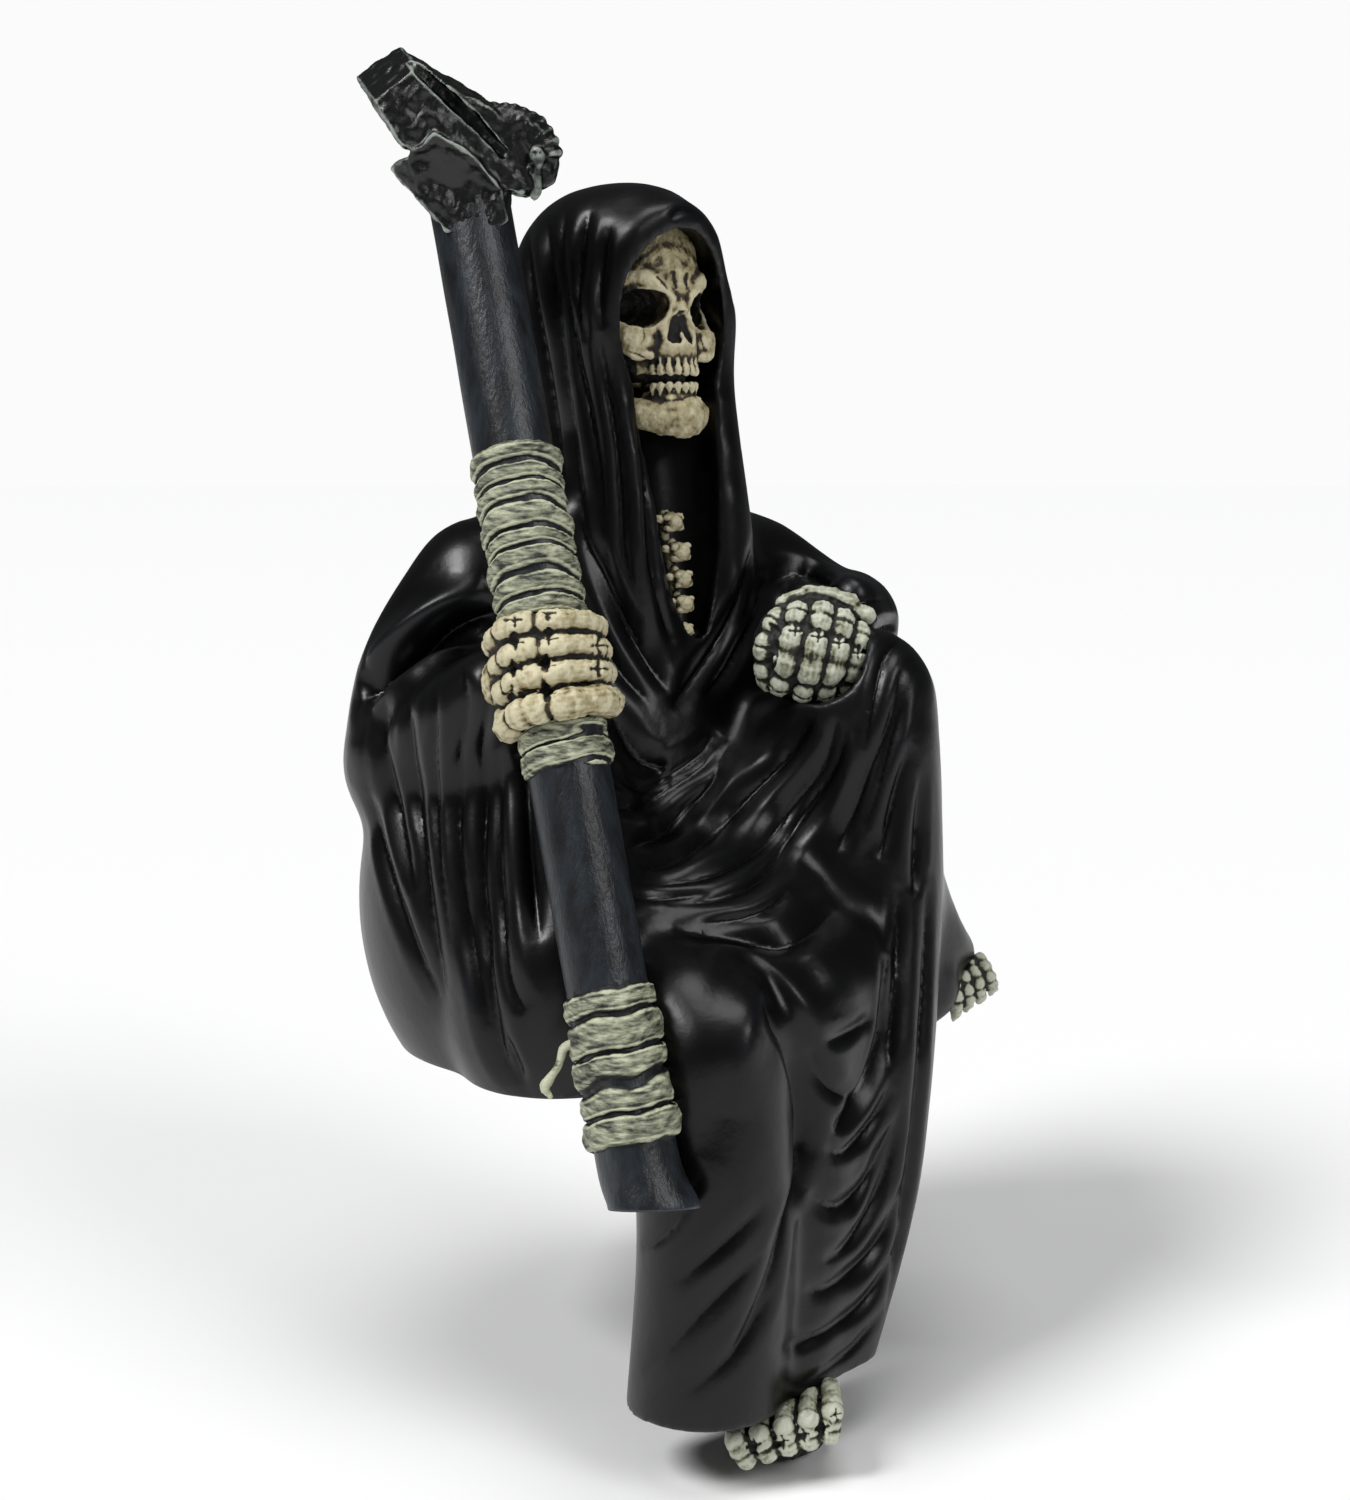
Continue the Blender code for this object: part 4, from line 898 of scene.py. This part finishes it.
    # Frown lines, lines below the sockets and on the cheek, the groove above the chin and one on the forehead
    wrinkles = (
        ([(674, 270), (675, 279), (677, 290)], (0.6, 0.36, 1.1)),
        ([(656, 275), (662, 281), (669, 290)], (0.45, 0.3, 1.1)),
        ([(688, 272), (686, 281), (688, 290)], (0.4, 0.24, 1.1)),
        ([(624, 350), (640, 356), (654, 366)], (0.6, 0.35, 1.1)),
        ([(640, 324), (645, 336), (641, 346)], (0.5, 0.18, 1.1)),
        ([(656, 326), (660, 338), (657, 350)], (0.5, 0.25, 1.1)),
        ([(699, 331), (702, 342), (706, 352)], (0.4, 0.2, 1.1)),
        ([(652, 398), (672, 400), (698, 394)], (0.6, 0.3, 1.1)),
        ([(634, 262), (648, 254), (660, 243)], (0.6, 0.14, 1.1)),
    )
    carve(both, marks_on(both, wrinkles), 1.2)
    # Wash and painted shade in the mouth, the nose, the sockets and the hollows of the cheeks
    washed_and_shaded_places = [((0, 37.4, 111.95), (8.0, 5.7, 0.8)), ((0, 36.2, 120.2), (2.0, 2.6, 2.9))]
    for side in (-1, 1):
        washed_and_shaded_places.append(((side * 6.1, 39.4, 124.1), (3.9, 4.6, 3.5)))
        washed_and_shaded_places.append(((side * 4.6, 39.2, 122.8), (2.5, 3.6, 2.4)))
        washed_and_shaded_places.append(((side * 10.4, 40.0, 112.4), (4.6, 5.0, 4.4)))
    return finished(both, BONE_PAINT, CLOSE_HOLLOWS, washed_and_shaded_places, BONE_ROUGHNESS)


# Hands, feet and spine


def bone(clay, place_at, length, radius, waist=0.85):
    """One finger or toe bone: a waist between two knobs, which are pressed against the next bones' knobs."""
    gap = min(0.4, 0.72 * radius / length)
    shares = gap + (1 - 2 * gap) * np.array([0.0, 0.2, 0.5, 0.8, 1.0])
    limb(clay, [place_at(f) for f in shares], radius * np.array([0.98, 1.0, waist, 1.0, 0.98]), 14, 4, False)


def knuckled(clay, points, radius):
    """A bone for each pair of points along a finger or toe."""
    for start, end in zip(points[:-1], points[1:]):
        start, end = np.asarray(start, float), np.asarray(end, float)
        bone(clay, lambda f: start + (end - start) * f, np.linalg.norm(end - start), radius)


def shaft_axes():
    """The shaft's direction, the level direction to its right, and the one across both."""
    axis = unit(SHAFT_TOP - SHAFT_FOOT)
    side = np.array([-1.0, 0.0, 0.0])
    side = unit(side - axis * (side @ axis))
    return axis, side, np.cross(axis, side)


# The right hand's fingers: height along the shaft, slant and size. Then the turns of their joints round it,
# in degrees, and how far each bone is shifted along the shaft
RIGHT_FINGERS = ((88.9, 0.8, 0.98), (85.0, 0.2, 1.0), (81.0, -0.4, 1.02), (76.3, -1.0, 1.26))
RIGHT_JOINTS = (-56, -6, 45, 130, 165)
RIGHT_SHIFTS = (-0.2, 0.25, -0.1, 0.2)


def make_right_hand():
    """Four fingers round the shaft and the back of the hand that comes from the sleeve."""
    axis, side, front = shaft_axes()
    clay = []
    ring = SHAFT_RADIUS + 0.5 + FINGER_RADIUS * 0.5

    def on_ring(height, degrees, more=0.0):
        swing = math.radians(degrees)
        outward = side * math.cos(swing) + front * math.sin(swing)
        return SHAFT_FOOT + axis * height + outward * (ring + more)

    for height, slant, size in RIGHT_FINGERS:
        for first, last, shift in zip(RIGHT_JOINTS[:-1], RIGHT_JOINTS[1:], RIGHT_SHIFTS):

            def along(f):
                degrees = first + (last - first) * f
                rise = slant * 0.5 * math.cos(math.radians(degrees))
                return on_ring(height + rise + shift, degrees, 0.15 * math.sin(f * np.pi) - 0.2 * (size - 1))

            bone(clay, along, ring * math.radians(last - first), FINGER_RADIUS * size, 0.86)
    # The palm between fingers and shaft, and the back of the hand running into the sleeve
    palm = [on_ring(82.5, degrees, -1.5) for degrees in (-60, -20, 30, 80, 130)]
    for lift in (-6.0, -2.0, 2.0, 5.0):
        limb(clay, [spot + axis * lift for spot in palm], [2.6, 2.4, 2.0, 2.0, 2.0])
    for height in (88.8, 85.0, 81.2, 77.4):
        start, end = on_ring(height, -40, 0.3), on_ring(height - 0.4, -68, 1.0)
        limb(clay, [start, along_line(start, end, 0.5), end], [1.9, 1.5, 1.7], 14)
    limb(clay, [on_ring(83.0, -50, -1.0), on_ring(82.0, -85, 3.0)], [4.5, 4.5])
    hand = fuse(object_of("right_hand", clay), 0.3, 1)
    # Crossed cracks at the joints
    joints = (
        (513, 619), (547, 611), (514, 641), (548, 637), (512, 668),
        (546, 664), (511, 693), (546, 692), (600, 645), (599, 668),
    )
    cracks = crosses(
        joints,
        (((0, -10), (0, 0), (1, 10)), (0.45, 0.8, 1.1)),
        (((-10, 1), (0, 0), (11, 1)), (0.32, 0.5, 1.1)),
    )
    carve(hand, marks_on(hand, cracks), 0.9)
    return finished(hand, BONE_PAINT, CLOSE_HOLLOWS, (), BONE_ROUGHNESS)


# The left hand's fingers on the sheet: a knuckle cap's left end, then the joints; and each one's radius
LEFT_FINGERS = (
    (((786, 609), (799, 604), (795, 628), (784, 674), (777, 693)), 2.3),
    (((809, 599), (824, 604), (818, 634), (807, 681), (800, 699)), 2.35),
    (((834, 602), (844, 611), (839, 640), (828, 682), (822, 699)), 2.25),
    (((852, 613), (860, 624), (857, 650), (847, 680), (841, 694)), 2.05),
)
LEFT_THUMB = ((784, 612), (769, 634), (764, 660), (771, 688))
# The distance from the eye at which the left fingers' lengths are measured
LEFT_FINGER_DISTANCE = 363.0


def make_left_hand():
    """A closed hand on the knee: four fingers over the front of a fist, knuckles above them, and a thumb."""
    clay = []
    scale = SHEET_SCALE * CAMERA_DISTANCE / LEFT_FINGER_DISTANCE

    def on_fist(across, down, more=0.0):
        off = ((across - FIST_ACROSS) / scale / FIST_WIDENING) ** 2 + ((down - FIST_DOWN) / scale) ** 2
        return sighted(across, down, FIST_DISTANCE - math.sqrt(max(FIST_RADIUS**2 - off, 4.0)) - more)

    def bones_over(spots, radii, waist, more=0.0):
        for start, end, radius in zip(spots[:-1], spots[1:], radii):
            length = math.dist(start, end) / scale
            bone(clay, lambda f: on_fist(*along_line(start, end, f), more), length, radius, waist)

    fist = sighted(FIST_ACROSS, FIST_DOWN, FIST_DISTANCE)
    ball(clay, fist, (10.0, 9.4, 9.0))
    for spots, radius in LEFT_FINGERS:
        bones_over(spots[1:], [radius * size for size in (0.95, 1.0, 0.85)], 0.84)
        # The knuckle's cap above the first joint
        left, right = spots[0], (spots[1][0] + 3, spots[1][1] - 3)
        limb(clay, [on_fist(left[0] - 2, left[1] - 5), on_fist(right[0] + 4, right[1] - 5)], [1.5, 1.6], 12)
    bones_over(LEFT_THUMB, (2.2, 2.2, 2.2), 0.85, -1.0)
    hand = fuse(object_of("left_hand", clay), 0.28, 1)
    cracks = crosses(
        ((796, 629), (819, 635), (840, 641), (859, 651)),
        (((-9, 0), (0, 1), (9, 1)), (0.3, 0.6, 1.1)),
        (((0, -8), (0, 0), (-1, 8)), (0.3, 0.5, 1.1)),
    )
    cracks.append(([(774, 640), (776, 655), (772, 672)], (0.4, 0.6, 1.1)))
    cracks.append(([(768, 622), (774, 628), (781, 634)], (0.4, 0.6, 1.1)))
    carve(hand, marks_on(hand, cracks), 0.9)
    # The fist between and under the finger bones is darkened with wash and painted shade
    return finished(hand, PALE_BONE_PAINT, CLOSE_HOLLOWS, [(fist, (9.9, 9.3, 8.9))], BONE_ROUGHNESS)


def make_feet():
    """Five long toes below the hem, and four toes of the left foot beside the falling cloth."""
    clay = []
    sole = sighted(788, 1424, 345.5)
    for i in range(5):
        root = sighted(746 + 21 * i, 1404 - 5 * i, 344)
        joint = sighted(735 + 24.5 * i, 1441 - 7 * i, 334)
        toe = sighted(751 + 19.5 * i, 1464 - 5.5 * i, 335)
        knuckled(clay, [root, joint, toe], 1.9 - 0.06 * i)
        # The long foot bone that runs back from the toe under the hem
        heel = sighted(764 + 11 * i, 1424 - 3 * i, 347)
        limb(clay, [joint, along_line(joint, heel, 0.5), heel], [1.7, 1.6, 2.2], 14)
    ball(clay, sole, (8.2, 6.4, 4.8))
    for i in range(4):
        start = sighted(950 + 9 * i, 968 - 4 * i, 383 + 0.6 * i)
        middle = sighted(956 + 10.5 * i, 990 - 6 * i, 379 + 0.8 * i)
        end = sighted(956 + 12 * i, 1012 - 8 * i, 380 + 0.8 * i)
        knuckled(clay, [start, middle, end], 1.35)
        limb(clay, [end, sighted(953 + 12.5 * i, 1019 - 8.5 * i, 380.5 + 0.8 * i)], [1.1, 0.5], 12)
    ball(clay, sighted(964, 979, 385.5), (3.6, 3.8, 2.8))
    feet = fuse(object_of("feet", clay), 0.28, 1)
    cracks = crosses(
        ((754, 1446), (782, 1443), (802.5, 1436), (822, 1428), (837, 1415)),
        (((-8, 2), (0, 0), (8, -2)), (0.35, 0.6, 1.1)),
        (((-1, -8), (0, 0), (1, 8)), (0.35, 0.6, 1.1)),
    )
    carve(feet, marks_on(feet, cracks), 0.9)
    # The ball of the sole, under the hem, is painted dark as shade
    return finished(feet, PALE_BONE_PAINT, CLOSE_HOLLOWS, [(sole, (8.4, 6.6, 5.0))], BONE_ROUGHNESS)


def make_spine():
    """Five vertebrae in the open front of the cowl: round bodies, a lip above and below, and a side spur."""
    clay = []
    spine = (((671, 522), 2.3), ((678, 552), 2.35), ((681, 579), 2.1), ((683, 604), 2.1), ((684, 630), 1.8))
    for i, (spot, size) in enumerate(spine):
        centre = sighted(spot[0], spot[1], 373.2 - 0.4 * i)
        ball(clay, centre, (size * 0.84, size * 0.9, size * 0.74))
        for lift in (-0.38, 0.38):
            lip = [
                centre + np.array([way * size * 0.62, -size * 0.34, lift * size + 0.1 * way])
                for way in (-1, 0, 1)
            ]
            limb(clay, lip, [size * 0.26, size * 0.3, size * 0.28], 12)
        tip = centre + np.array([-size * 1.1, 0.3, 0.25 * size])
        limb(clay, [centre, along_line(centre, tip, 0.6), tip], [size * 0.4, size * 0.3, size * 0.3], 12)
        # A thin link behind, down to the next one
        link = [centre + np.array([-0.4, 1.2, 1.4]), centre + np.array([-0.4, 1.2, -2.6])]
        limb(clay, link, [size * 0.34, size * 0.34], 12)
    bones = fuse(object_of("spine", clay), 0.22, 1)
    return finished(bones, BONE_PAINT, CLOSE_HOLLOWS, (), SPINE_ROUGHNESS)


# Shaft, wraps and head


def round_bar(start, axis, side, front, heights, radii, columns=96):
    """Rings round the shaft's axis: radii is an array of rows by columns."""
    turn = np.linspace(0.0, 2 * np.pi, columns, endpoint=False)
    ring = side * np.cos(turn)[:, None] + front * np.sin(turn)[:, None]
    centres = start + axis * heights[:, None]
    return closed_tube(centres[:, None] + ring[None] * radii[..., None])


def wavy(rows, columns, seed):
    """A gentle uneven field: sines of the height and the turn with fixed phases, added up."""
    t = np.linspace(0.0, 1.0, rows)[:, None] * 2 * np.pi
    u = np.linspace(0.0, 2 * np.pi, columns, endpoint=False)[None]
    field = np.zeros((rows, columns))
    for k in range(1, 9):
        phase = seed * 1.7 + k * 2.39
        field += np.sin(k * 1.3 * t + round(k * 0.7) * u + phase) * np.cos(k * u - phase * 1.3) / k**0.7
    return field / 3.0


def make_shaft():
    """A round shaft, a little uneven, with a flared foot whose lower edge is drawn out to a point."""
    axis, side, front = shaft_axes()
    length = np.linalg.norm(SHAFT_TOP - SHAFT_FOOT)
    rows, columns = 420, 96
    heights = np.linspace(-0.5, length - 1.0, rows)
    turn = np.linspace(0.0, 2 * np.pi, columns, endpoint=False)[None]
    to_point = np.cos(turn - math.radians(128))
    flare = np.exp(-((heights + 0.5) / 4.5) ** 2)[:, None]
    radii = SHAFT_RADIUS - 0.2 + 0.4 * (heights / length)[:, None] + flare * (0.5 + 1.5 * to_point**3)
    radii = radii + 0.10 * wavy(rows, columns, 1.0)
    points, faces = round_bar(SHAFT_FOOT, axis, side, front, heights, radii, columns)
    # The lower edge slants up on the near side, away from the point
    slant = (np.clip(6.0 - heights, 0, 6) / 6.0)[:, None] ** 2 * (1.2 - 1.2 * to_point)
    points = points + (slant[..., None] * axis).reshape(-1, 3)
    return finished(object_of("shaft", [(points, faces)]), SHAFT_PAINT, WIDE_HOLLOWS)


# Name, lowest and highest place along the shaft, count of bands and seed of the unevenness
WRAPS = (
    ("lower_wrap", 10.0, 33.8, 5, 2.0),
    ("grip_wrap", 66.5, 75.0, 2, 3.0),
    ("upper_wrap", 90.0, 118.8, 8, 4.0),
)
# How much of the wash lies on the strip's loose end
LOOSE_END_WASH = 0.18


def make_wrap(name, low, high, bands, seed):
    """Bound strips: each band is a swelling along the shaft, tilted, of uneven width and thickness.

    The band's phase is the height plus slow sines of the turn; the swelling is a power of its sine, with a
    narrow rim near each edge. The lowest wrap also has the strip's loose end."""
    axis, side, front = shaft_axes()
    rows, columns = int((high - low) * 9), 168
    heights = np.linspace(low, high, rows)
    share = (heights - low) / (high - low)
    turn = np.linspace(0.0, 2 * np.pi, columns, endpoint=False)[None]
    inner = np.sin(np.pi * share[:, None]) ** 0.3
    tilt = 0.2 * np.sin(turn + seed) + 0.1 * np.sin(2 * turn + seed * 2.3) + 0.05 * np.sin(5 * turn + seed)
    uneven = 0.13 * np.sin(share[:, None] * 19.0 + seed)
    phase = share[:, None] * bands + (tilt + uneven) * inner
    part = phase - np.floor(phase)
    arch = np.clip((np.sin(np.pi * part) - 0.16) / 0.84, 0, 1) ** 0.55
    ends = np.clip(np.minimum(share, 1 - share)[:, None] * 30, 0, 1) ** 0.5
    step = 0.22 * np.sin(np.floor(phase) * 2.4 + seed) + 0.12 * np.sin(3 * turn + np.floor(phase) * 1.9)
    rims = np.exp(-(((part - 0.17) / 0.07) ** 2)) + np.exp(-(((part - 0.83) / 0.07) ** 2))
    swell = 0.1 + 1.0 * arch + step * arch + 0.16 * rims
    radii = SHAFT_RADIUS - 0.25 + swell * ends + 0.1 * wavy(rows, columns, seed)
    clay = [round_bar(SHAFT_FOOT, axis, side, front, heights, radii, columns)]
    # Wash and painted shade in the grooves between the bands, weaker near the wrap's ends
    groove_washes_and_shade = np.clip(1 - arch / 0.45, 0, 1) * (0.6 + 0.4 * ends)
    if name == "lower_wrap":
        # The loose end of the strip, curling away on the left
        start = SHAFT_FOOT + axis * 25.5
        curl = ((-5.0, 0.6), (-7.6, -0.6), (-8.6, -3.4), (-10.6, -6.4), (-9.8, -8.0))
        points = [start + CAMERA_RIGHT * across + CAMERA_UP * up + CAMERA_BACK * 1.0 for across, up in curl]
        limb(clay, points, [0.7, 0.75, 0.6, 0.8, 0.4], 14)
    wrap = object_of(name, clay)
    values = np.full(len(wrap.data.vertices), LOOSE_END_WASH)
    values[: groove_washes_and_shade.size] = groove_washes_and_shade.ravel()
    return finished(wrap, WRAP_PAINT, WIDE_HOLLOWS, values, WRAP_ROUGHNESS)


def slab(clay, front, back, depths, back_depth):
    """A drawn outline with thickness: its front at the given distances from the eye, its back at one."""
    near = np.array([sighted(*spot, depth) for spot, depth in zip(front, depths)])
    far = np.array([sighted(*spot, back_depth) for spot in back])
    clay.append(closed_tube(np.stack([near, near * 0.5 + far * 0.5, far])))


# Outlines of the scythe's head on the sheet, and the distances of their corners from the eye
BAR_FRONT = (
    (373, 101), (418, 67), (493, 110), (546, 146), (550, 166), (520, 196),
    (476, 176), (432, 152), (400, 146),
)
BAR_BACK = (
    (355, 76), (400, 45), (492, 104), (552, 142), (556, 160), (530, 198),
    (480, 180), (436, 150), (404, 148),
)
BAR_DEPTHS = (337.5, 338.0, 341.0, 343.5, 344.0, 342.5, 339.5, 338.0, 337.5)
BRACKET_FRONT = (
    (389, 169), (408, 155), (434, 131), (452, 141), (474, 155), (503, 190),
    (509, 222), (484, 240), (444, 232), (424, 208), (406, 190),
)
BRACKET_BACK = (
    (398, 168), (412, 158), (436, 140), (456, 146), (484, 160), (510, 190),
    (512, 222), (484, 240), (444, 232), (430, 208), (414, 188),
)
BRACKET_DEPTHS = (341.5, 338.5, 335.0, 335.6, 337.0, 341.0, 342.5, 340.5, 340.5, 340.0, 340.5)
CREST = (
    (490, 112), (504, 106), (522, 110), (538, 119), (550, 131), (556, 146),
    (558, 164), (554, 184), (534, 192), (508, 172),
)
CREST_DEPTHS = (342, 342, 342.5, 343, 343.5, 344, 344.5, 345, 343, 342)
RIB_ENDS = (
    (495, 107), (505, 107), (514, 109), (523, 112), (532, 117), (541, 123),
    (548, 131), (554, 141), (557, 153),
)
SLOT = (
    (404, 50), (423, 66), (475, 112), (508, 152), (503, 157), (475, 131),
    (420, 80), (405, 60),
)


def make_head():
    """The scythe's head: a slotted bar that grows from a flared bracket, a ridged crest and a tiny skull."""
    axis = shaft_axes()[0]
    clay = []
    # Bar, its end face slanting back to the left
    slab(clay, BAR_FRONT, BAR_BACK, BAR_DEPTHS, 352.0)
    # Bracket, its upper edge rising to a peak at the front
    slab(clay, BRACKET_FRONT, BRACKET_BACK, BRACKET_DEPTHS, 353.0)
    limb(clay, [SHAFT_TOP - axis * 1.0, SHAFT_TOP + axis * 1.0], [6.3, 6.6], 32)
    # Crest over the far end: a rounded mass with low ribs that fan out from its middle
    slab(clay, CREST, CREST, CREST_DEPTHS, 352.0)
    middle = np.array([512.0, 160.0])
    for spot in RIB_ENDS:
        inner = middle + (np.array(spot) - middle) * 0.5
        rib = [sighted(*inner, 342.4), sighted(*along_line(inner, spot, 0.6), 342.2), sighted(*spot, 343.4)]
        limb(clay, rib, [0.45, 0.75, 0.7], 10)
        limb(clay, [sighted(*spot, 343.4), sighted(*spot, 351.0)], [0.7, 0.7], 10)
    # Tiny skull on the front of the far end, and the drawn-out end below it
    knob = sighted(538, 155, 341.2)
    ball(clay, knob, (1.25, 1.25, 1.35))
    ball(clay, knob - np.array([0, 0, 1.3]), (0.8, 0.8, 0.9))
    tail = [sighted(534, 172, 342.4), sighted(537, 186, 342.8), sighted(534, 197, 343.5)]
    limb(clay, tail, [1.1, 0.9, 0.7], 12)
    head = fuse(object_of("scythe_head", clay), 0.36, 3)
    space = []
    slab(space, SLOT, SLOT, (334, 334, 334, 338, 338, 334, 334, 334), 342.8)
    for dx in (-0.5, 0.5):
        ball(space, knob + CAMERA_RIGHT * dx + CAMERA_BACK * 1.1 + CAMERA_UP * 0.1, (0.36, 0.36, 0.36))
    ball(space, sighted(530, 168, 341.0), (0.7, 0.9, 1.2))
    cut(head, object_of("slot_space", space))
    fuse(head, 0.28, 0)
    dents = (
        ([(428, 92), (420, 110), (408, 128)], (1.1, 0.7, 1.3)),
        ([(436, 120), (424, 136), (412, 146)], (0.8, 0.6, 1.3)),
        ([(420, 172), (440, 184), (470, 190)], (1.3, 0.8, 1.3)),
        ([(410, 165), (432, 152), (455, 160)], (0.8, 0.5, 1.3)),
        ([(486, 176), (482, 196), (486, 220)], (0.9, 0.5, 1.3)),
        ([(455, 190), (452, 215), (456, 240)], (0.8, 0.4, 1.3)),
        ([(380, 92), (392, 80), (408, 66)], (0.6, 0.35, 1.3)),
    )
    carve(head, marks_on(head, dents), 1.2)
    return finished(head, HEAD_PAINT, CLOSE_HOLLOWS, (), HEAD_ROUGHNESS)


make_robe()
make_skull()
make_right_hand()
make_left_hand()
make_feet()
make_spine()
make_shaft()
for values in WRAPS:
    make_wrap(*values)
make_head()


# Camera, floor and light


def placed(thing, matrix):
    """Adds a camera, floor or light to the scene, in its place."""
    bpy.context.scene.collection.objects.link(thing)
    thing.matrix_world = matrix
    return thing


SENSOR_HEIGHT = 36.0
lens = bpy.data.cameras.new("camera")
lens.sensor_fit = "VERTICAL"
lens.sensor_height = SENSOR_HEIGHT
lens.lens = SENSOR_HEIGHT / 2 / (SHEET_MIDDLE[1] / SHEET_SCALE / CAMERA_DISTANCE)
lens.clip_start = 0.01
lens.clip_end = 20.0
stand = Matrix([CAMERA_RIGHT, CAMERA_UP, CAMERA_BACK]).transposed().to_4x4()
stand.translation = Vector((EYE - SEAT_MIDDLE) * MILLIMETRE)
bpy.context.scene.camera = placed(bpy.data.objects.new("camera", lens), stand)

# A round pale floor in metres, just under the lowest point
FLOOR_RADIUS, FLOOR_CORNERS, FLOOR_GAP = 6, 64, 0.0002
floor_mesh = bpy.data.meshes.new("floor")
around = np.linspace(0, 2 * np.pi, FLOOR_CORNERS, endpoint=False)
edge = np.stack([np.cos(around) * FLOOR_RADIUS, np.sin(around) * FLOOR_RADIUS, 0 * around], -1)
floor_mesh.from_pydata(edge.tolist(), [], [tuple(range(FLOOR_CORNERS))])
ground = min(cad_low[2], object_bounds()[0][2]) - FLOOR_GAP
floor = placed(bpy.data.objects.new("floor", floor_mesh), Matrix.Translation((0, 0, ground)))
floor_paint = bpy.data.materials.new("white_sweep")
floor_paint.use_nodes = True
floor_shader = floor_paint.node_tree.nodes["Principled BSDF"]
floor_shader.inputs["Base Color"].default_value = linear("#f9f9f9")
floor_shader.inputs["Roughness"].default_value = 0.9
floor_mesh.materials.append(floor_paint)


def sun(name, turn, rise, strength, width):
    """A broad far light: turn in degrees from the figure's front to its left, rise, strength and width."""
    lamp = bpy.data.lights.new(name, "SUN")
    lamp.energy = strength
    lamp.angle = math.radians(width)
    turn, rise = math.radians(turn), math.radians(rise)
    way = Vector((math.sin(turn) * math.cos(rise), -math.cos(turn) * math.cos(rise), math.sin(rise)))
    return placed(bpy.data.objects.new(name, lamp), way.to_track_quat("Z", "Y").to_matrix().to_4x4())


LIGHTS = (
    ("key", -95.0, 50.0, 2.2, 20.0),
    ("fill", 8.0, 38.0, 0.85, 24.0),
    ("top", -20.0, 82.0, 1.0, 30.0),
)
for values in LIGHTS:
    sun(*values)

# A dim room with a bright backdrop that only the camera sees
studio = bpy.data.worlds.new("studio")
bpy.context.scene.world = studio
studio.use_nodes = True
rays = node(studio.node_tree, "ShaderNodeLightPath").outputs["Is Camera Ray"]
room = ((0.0, linear("#424344")), (1.0, linear("#fbfbfb")))
backdrop = node(studio.node_tree, "ShaderNodeValToRGB", None, {0: rays}, room).outputs["Color"]
studio.node_tree.links.new(backdrop, studio.node_tree.nodes["Background"].inputs["Color"])
bpy.context.scene.view_settings.view_transform = "Standard"
